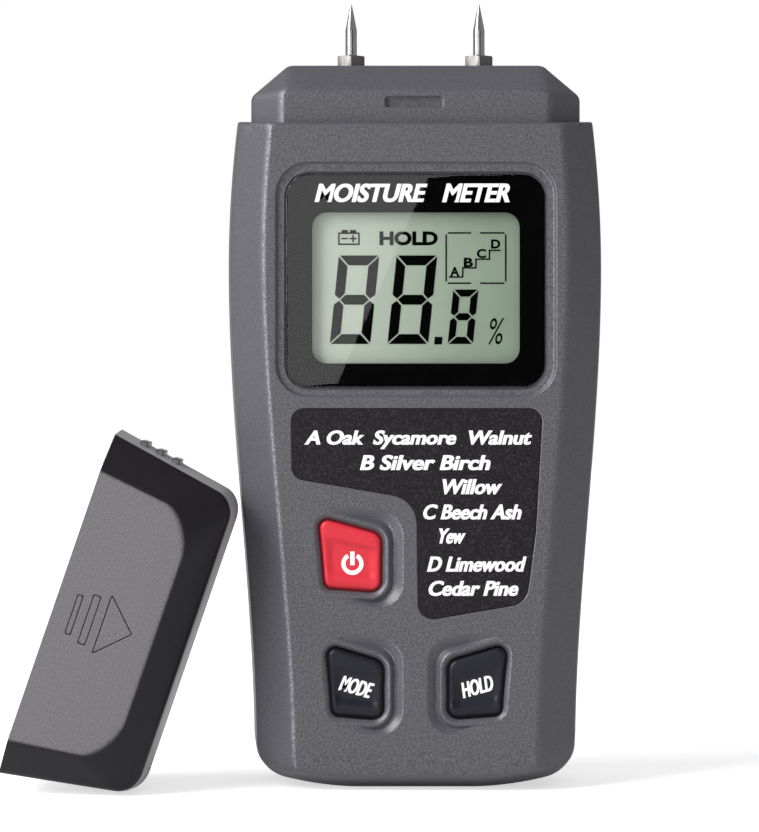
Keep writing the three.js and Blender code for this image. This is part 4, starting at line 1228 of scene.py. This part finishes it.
cap.fill([mouth_line(cap_outer), mouth_line(cap_inner)], axes=(0, 1))
ARROW = [(-5.6, 10.3, 0.1), (6.4, 10.3, 0.1), (0.4, 16.4, 0.1)]
TAILS = [[(-4.6, 6.9, 0.1), (5.4, 6.9, 0.1), (5.4, 8.3, 0.1), (-4.6, 8.3, 0.1)],
         [(-3.6, 3.9, 0.1), (4.4, 3.9, 0.1), (4.4, 4.9, 0.1), (-3.6, 4.9, 0.1)]]
score_rims = []
for corners in [ARROW, *TAILS]:
    depth = 0.22 if corners is ARROW else 0.10
    rows = [at_depth(rounded(corners, grow, 4, 1.0), y) for grow, y in [
        (0.26, FRONT_Y), (0.16, FRONT_Y), (0.05, FRONT_Y + depth), (-0.06, FRONT_Y), (-0.2, FRONT_Y)]]
    cap.patch(rows).fill([rows[-1]])
    score_rims.append(rows[0])
cap.fill([cap_outer[0], *score_rims])
for z in (5.7, 9.3, 12.9):
    face = CAP_HALF - CAP_DRAFT * z
    rib = [(RIB_SUNK - face, z - RIB_HALF, 0.3), (-RIB_PROUD - face, z - RIB_HALF, 0.35),
           (-RIB_PROUD - face, z + RIB_HALF, 0.35), (RIB_SUNK - face, z + RIB_HALF, 0.3)]
    rows = [at_depth(rounded(rib, grow, 5, 1.0), y) for grow, y in [
        (-0.2, -5), (-0.03, -4.85), (0, -4.6), (0, 4.6), (-0.03, 4.85), (-0.2, 5)]]
    cap.fill([rows[0]]).patch(rows).fill([rows[-1]])

upright = np.vstack(cap.points)
spun_x = upright[:, 0] * math.cos(CAP_TILT) + upright[:, 2] * math.sin(CAP_TILT)
spun_z = -upright[:, 0] * math.sin(CAP_TILT) + upright[:, 2] * math.cos(CAP_TILT)
cap.points = [np.stack([spun_x + CAP_MOUTH[0], upright[:, 1] + CAP_MOUTH[1], spun_z - spun_z.min()], 1)]
# The cap's bevel colour is a near-black painted shade for bevels turned away from the light, and its wall
# colour is a pale painted light.
cap_plastic = sparked_plastic("cap_grey_plastic", (0.140, 0.135, 0.145), (0.011, 0.0095, 0.012), 0.55, 0.40,
                              painted_light_walls=(0.42, 0.41, 0.42), grain=0.28, contrast=0.2, sheen=0.25)
cap.piece("pin_cap_shell", "pin_cap", cap_plastic, slot="cap_grey", stands_for=["cap_shell"])

# ---------------------------------------------------------------------------------------------
# Floor and light. A plain white floor, a broad soft sun and a small near lamp from the left, and
# an even white surround. A tilted card behind the camera shows its straight edge in the window,
# in front of a black flag that keeps the rest of the window dark.
# ---------------------------------------------------------------------------------------------
floor = Skin()
floor_x, floor_y = np.meshgrid(np.linspace(-3000, 3000, 5), np.linspace(-1500, 4000, 5))
floor.patch(np.stack([floor_x, floor_y, np.zeros((5, 5))], axis=2), closed=False)
floor_mesh = bpy.data.meshes.new("floor")
floor_mesh.from_pydata((np.vstack(floor.points) * 0.001).tolist(), [], floor.faces)
floor_object = bpy.data.objects.new("floor", floor_mesh)
bpy.context.scene.collection.objects.link(floor_object)
paper = Finish("pale_paper", (0.9, 0.9, 0.9), 0.9)
paper.set(**{"Base Color": paper.mix(paper.noise(60.0), (0.90, 0.90, 0.90), (0.92, 0.92, 0.92))})
seen = paper.node("ShaderNodeLightPath", output="Is Camera Ray")
glow = paper.mix(seen, (0.1, 0.1, 0.1), (1.0, 1.0, 1.0))
paper.set(**{"Emission Color": glow, "Emission Strength": 0.6})
floor_mesh.materials.append(paper.material)


def shown(name, data):
    """An object for a mesh or lamp, linked into the scene."""
    made = bpy.data.objects.new(name, data)
    bpy.context.scene.collection.objects.link(made)
    return made


def area_light(name, place, aim, wide, tall, power):
    """A rectangular lamp at place, facing the point aim; both in metres."""
    lamp = bpy.data.lights.new(name, "AREA")
    lamp.shape, lamp.size, lamp.size_y, lamp.energy = "RECTANGLE", wide, tall, power
    lamp_object = shown(name, lamp)
    back = np.array(place, float) - np.array(aim, float)
    flat_back = math.hypot(back[0], back[1])
    lamp_object.location = place
    lamp_object.rotation_euler = (math.atan2(flat_back, back[2]), 0, math.atan2(back[0], -back[1]))
    return lamp_object


sun = bpy.data.lights.new("key_light", "SUN")
SUN_POWER, SUN_SPREAD, SUN_FROM_ABOVE, SUN_ROUND = 2.5, 35, 52, -58
sun.energy, sun.angle = SUN_POWER, math.radians(SUN_SPREAD)
sun_object = shown("key_light", sun)
sun_object.rotation_euler = (math.radians(SUN_FROM_ABOVE), 0, math.radians(SUN_ROUND))
area_light("near_key", (-0.40, -0.32, 0.24), (0.0, 0.0, 0.08), 0.25, 0.25, 1.3)
CARD_Y, FLAG_Y = -0.900, -0.93
CARD_HIGH, CARD_POWER, CARD_LEAN = 0.1453, 0.91, 23.7
card = area_light("window_card", (0, CARD_Y, CARD_HIGH), (0, 0, CARD_HIGH), 0.30, 0.5, CARD_POWER)
card.rotation_euler = (math.pi / 2, math.radians(CARD_LEAN), 0)
card.location = (-0.1430, CARD_Y, 0.2060)
flag_mesh = bpy.data.meshes.new("dark_flag")
flag_corners = [(-0.5, FLAG_Y, -0.2), (0.6, FLAG_Y, -0.2), (0.6, FLAG_Y, 0.6), (-0.5, FLAG_Y, 0.6)]
flag_mesh.from_pydata(flag_corners, [], [(0, 1, 2, 3)])
flag_black = Finish("flag_black", (0.0, 0.0, 0.0), 1.0)
flag_mesh.materials.append(flag_black.material)
flag = shown("dark_flag", flag_mesh)
flag.visible_camera = flag.visible_diffuse = flag.visible_shadow = False
SURROUND, SURROUND_SEEN = 0.33, 1.0
world = bpy.data.worlds.new("studio")
bpy.context.scene.world = world
world.use_nodes = True
world.node_tree.nodes["Background"].inputs["Color"].default_value = (1, 1, 1, 1)
sky = world.node_tree.nodes["Background"]
ray = world.node_tree.nodes.new("ShaderNodeLightPath")
level = world.node_tree.nodes.new("ShaderNodeMapRange")
level.inputs["To Min"].default_value = SURROUND
level.inputs["To Max"].default_value = SURROUND_SEEN
world.node_tree.links.new(ray.outputs["Is Camera Ray"], level.inputs["Value"])
world.node_tree.links.new(level.outputs["Result"], sky.inputs["Strength"])
